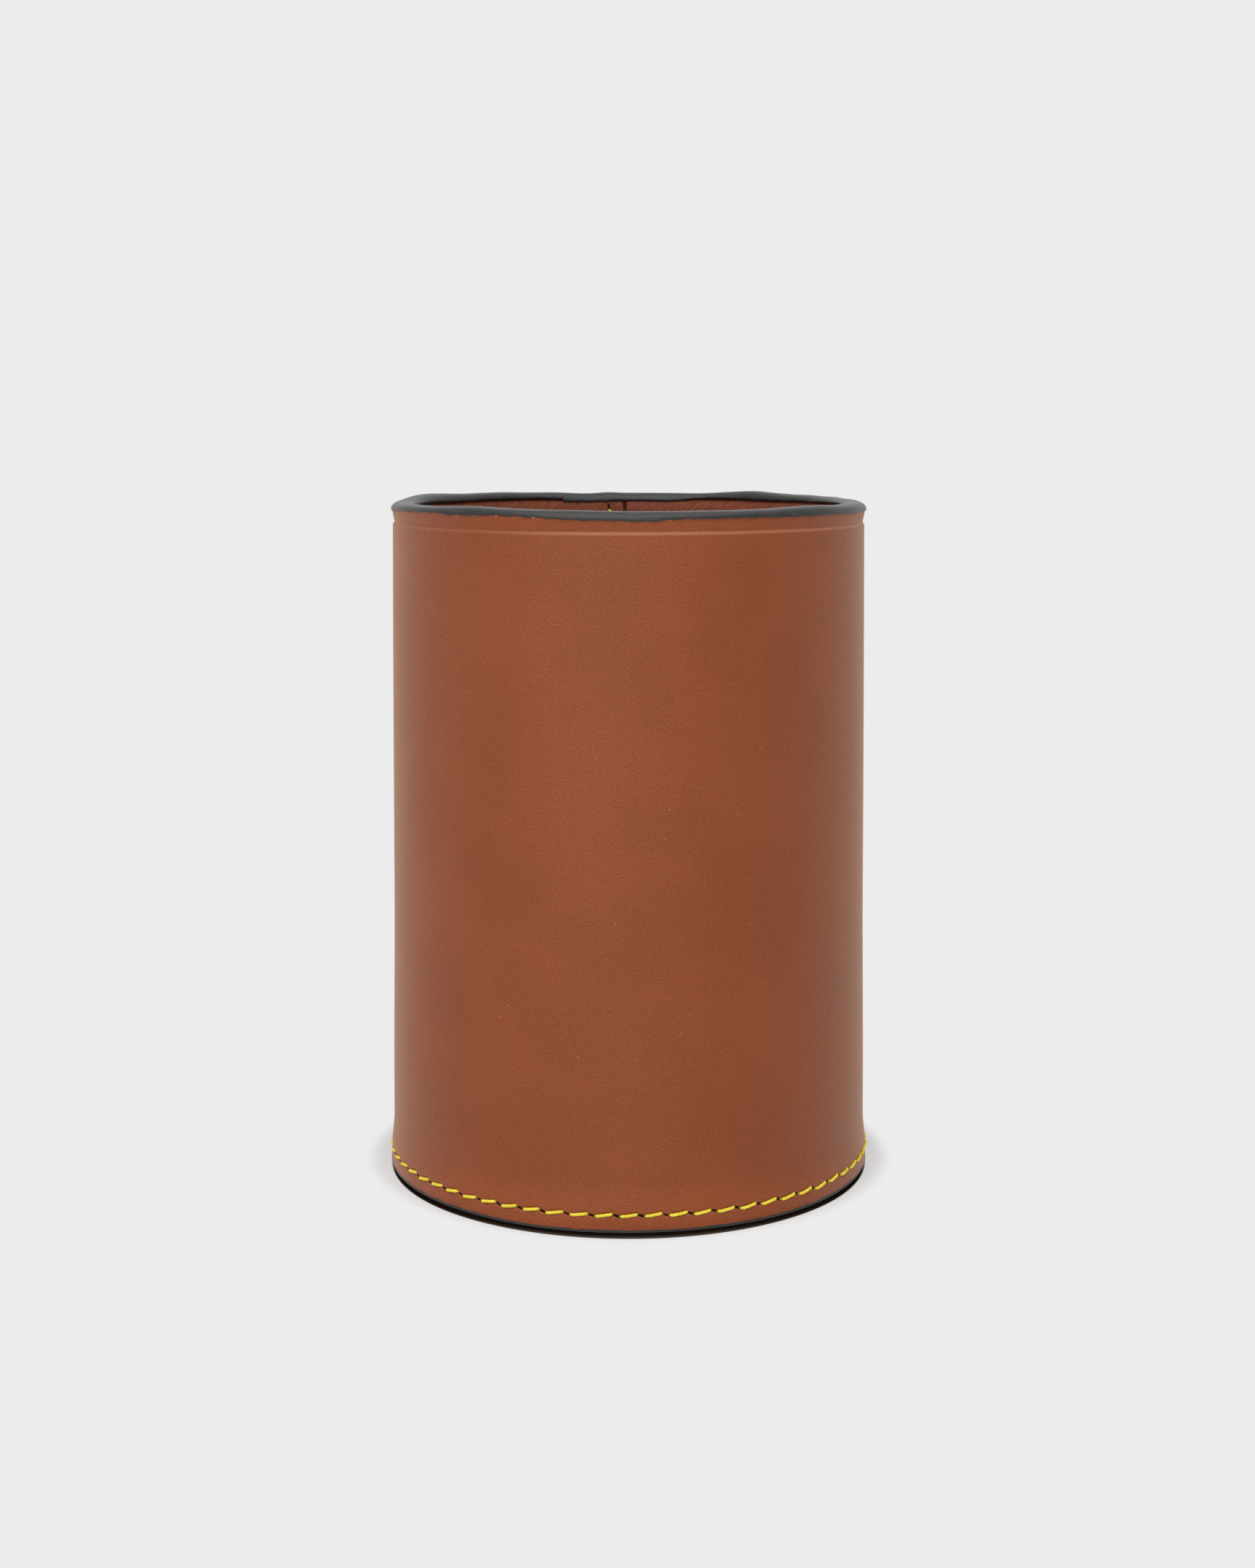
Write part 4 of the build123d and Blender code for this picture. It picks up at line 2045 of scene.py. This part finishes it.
@dataclass
class Studio:
    """The pale sweep, the soft lamps and the camera.

    Attributes:
        room, room_strength: the even light of the room.
        lens, shift, tilt_deg: the camera's lens in millimetres, its rise as a share, and its tilt downwards.
        axis_right_of_middle: how far right of the picture's middle the cup's axis is.
        shade_radius, shade_offset, shade_fade: how far the painted contact shadow under the cup reaches, how
            far it is shifted to the front, and how soft its edge is.
        painted_shadow_inner, painted_shadow_outer, painted_shadow_span: the painted shadow's colours near the
        foot and further out.
        lit_share, lit_span: how much of the lamps' shadow the camera sees near the foot, and how far out.
    """

    backdrop: Colour = linear(236, 236, 236)
    room: Colour = (1.0, 0.99, 0.98)
    room_strength: float = 0.33
    lens: float = 52.29
    shift: float = 0.1742
    tilt_deg: float = 2.35
    camera_distance: float = 396.7 * MM
    camera_height: float = 128.9 * MM
    axis_right_of_middle: float = 0.19 * MM
    sweep_half: float = 3.0
    sweep: Colour = linear(221, 221, 221)
    # The painted contact shadow under the cup's front, and its colours
    shade_radius: float = 41.1 * MM
    shade_offset: float = 3.0 * MM
    shade_fade: float = 0.2 * MM
    painted_shadow_inner: Colour = (0.01, 0.006, 0.004)
    painted_shadow_outer: Colour = (0.13, 0.11, 0.09)
    painted_shadow_span: Span = (42.4 * MM, 44.8 * MM)
    lit_share: float = 0.5
    lit_span: Span = (42.5 * MM, 46.5 * MM)
    lamps: tuple[SoftBox, ...] = (
        SoftBox("key_front", (-0.24, -0.8, 0.36), (1.2, 1.0), 4.65),
        SoftBox("fill_top", (0.0, -0.3, 0.75), (1.1, 0.9), 4.1),
    )

    def camera(self) -> None:
        """Sets the camera where the photograph was taken from, a little above the rim."""
        data = bpy.data.cameras.new("camera")
        data.lens = self.lens
        data.shift_y = -self.shift
        data.clip_start = 0.01
        made = bpy.data.objects.new("camera", data)
        made.location = (-self.axis_right_of_middle, -self.camera_distance, self.camera_height)
        made.rotation_euler = (math.radians(90 - self.tilt_deg), 0, 0)
        bpy.context.scene.collection.objects.link(made)
        bpy.context.scene.camera = made

    def world(self) -> None:
        """Lights the room evenly, and shows the backdrop to the camera and in reflections."""
        made = bpy.data.worlds.new("studio")
        bpy.context.scene.world = made
        graph = Graph(made)
        light = graph.node("Background", None, {"Color": self.room, "Strength": self.room_strength})
        seen = graph.node("Background", None, {"Color": self.backdrop, "Strength": 1.0})
        through = graph.node("LightPath", None, None, "Is Transmission Ray")
        share = self._seen(graph).larger(self._mirrored(graph)).larger(through)
        both = graph.node("MixShader", None, {0: share, 1: light, 2: seen})
        graph.node("OutputWorld", None, {"Surface": both})

    def floor(self) -> None:
        """Lays the sweep: it takes the cup's shadow near the foot, has a painted contact shadow under the
        cup's front, and runs into the backdrop further out.
        """
        half = self.sweep_half
        corners = [(-half, -half, 0), (half, -half, 0), (half, half, 0), (-half, half, 0)]
        data = bpy.data.meshes.new("sweep")
        data.from_pydata(corners, [], [(0, 1, 2, 3)])
        made = bpy.data.objects.new("sweep", data)
        bpy.context.scene.collection.objects.link(made)
        data.materials.append(self._sweep_material())

    def _sweep_material(self) -> bpy.types.Material:
        """Builds the sweep's finish.

        Returns:
            The material.
        """
        made = bpy.data.materials.new("sweep")
        graph = Graph(made)
        place = graph.node("TexCoord", None, None, "Object")
        far = graph.node("VectorMath", {"operation": "LENGTH"}, {0: place}, "Value")
        # A painted contact shadow: a dark disc shifted to the cup's front, darkest near the foot
        forward = place + graph.node("CombineXYZ", None, {1: self.shade_offset})
        shade = graph.node("VectorMath", {"operation": "LENGTH"}, {0: forward}, "Value")
        open_floor = shade.rise(self.shade_radius - self.shade_fade, self.shade_radius + self.shade_fade)
        painted_shadow = graph.mix(far.rise(*self.painted_shadow_span), self.painted_shadow_inner, self.painted_shadow_outer)
        lit = graph.node("BsdfDiffuse", None, {"Color": graph.mix(open_floor, painted_shadow, self.sweep)})
        plain = graph.node("Emission", None, {"Color": self.backdrop, "Strength": 1.0})
        faded = 1 - self.lit_share + self.lit_share * far.rise(*self.lit_span)
        share = (self._seen(graph) * open_floor * faded).larger(self._mirrored(graph))
        both = graph.node("MixShader", None, {0: share, 1: lit, 2: plain})
        graph.node("OutputMaterial", None, {"Surface": both})
        return made

    def _seen(self, graph: Graph) -> Socket:
        """Returns 1 for what the camera sees straight on."""
        return graph.node("LightPath", None, None, "Is Camera Ray")

    def _mirrored(self, graph: Graph) -> Socket:
        """Returns 1 for what is seen in a reflection."""
        return graph.node("LightPath", None, None, "Is Glossy Ray")

    def build(self) -> None:
        """Sets up the whole studio."""
        bpy.context.scene.view_settings.view_transform = "Standard"
        self.camera()
        self.world()
        self.floor()
        for lamp in self.lamps:
            lamp.hang()


def main() -> None:
    """Sets up the studio, dresses the cup piece by piece, and reports each piece."""
    logging.basicConfig(level=logging.INFO, format="%(message)s")
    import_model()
    cup = Cup.from_frame()
    drape = Drape()
    sewing = Sewing(cup, drape)
    Studio().build()
    rim = RimCoat(cup)
    outer = OuterWall(cup=cup, sewing=sewing, rim=rim)
    tan = TanLeather().material(outer.crease_level / MM)
    lining = FleshLeather("lining_leather", linear(142, 72, 42), linear(102, 46, 27), 0.05 * MM).material()
    base = FleshLeather("base_leather", linear(146, 76, 46), linear(122, 58, 34), 0.03 * MM).material()
    rim_paint = EdgePaint("rim_edge_paint", linear(27, 26, 25), linear(50, 48, 46), 0.26).material()
    foot_paint = EdgePaint("bottom_edge_paint", linear(31, 30, 29), linear(50, 48, 45), 0.36).material()
    thread = WaxedThread().material()
    outside, inside = Side.OUTSIDE, Side.INSIDE
    base_rows = [(sewing.base_row(outside), 36, 7), (sewing.base_row(inside), 22, 6)]
    seam_rows = [(sewing.seam_row(outside), 36, 7), (sewing.seam_row(inside), 36, 7)]
    pieces = (
        outer.build(tan),
        LiningWall(cup=cup, sewing=sewing).build(lining),
        rim.build(rim_paint),
        BottomCoat(cup, drape).build(foot_paint),
        FormedBase(cup, sewing).build(base),
        FloorLining(cup).build(lining),
        Thread().build("base_thread_twist", base_rows, thread, "base_thread"),
        Thread().build("seam_thread_twist", seam_rows, thread, "seam_thread"),
    )
    for piece in pieces:
        log.info("%s: %d faces", piece.object.name, len(piece.data.polygons))


if __name__ == "__main__":
    main()
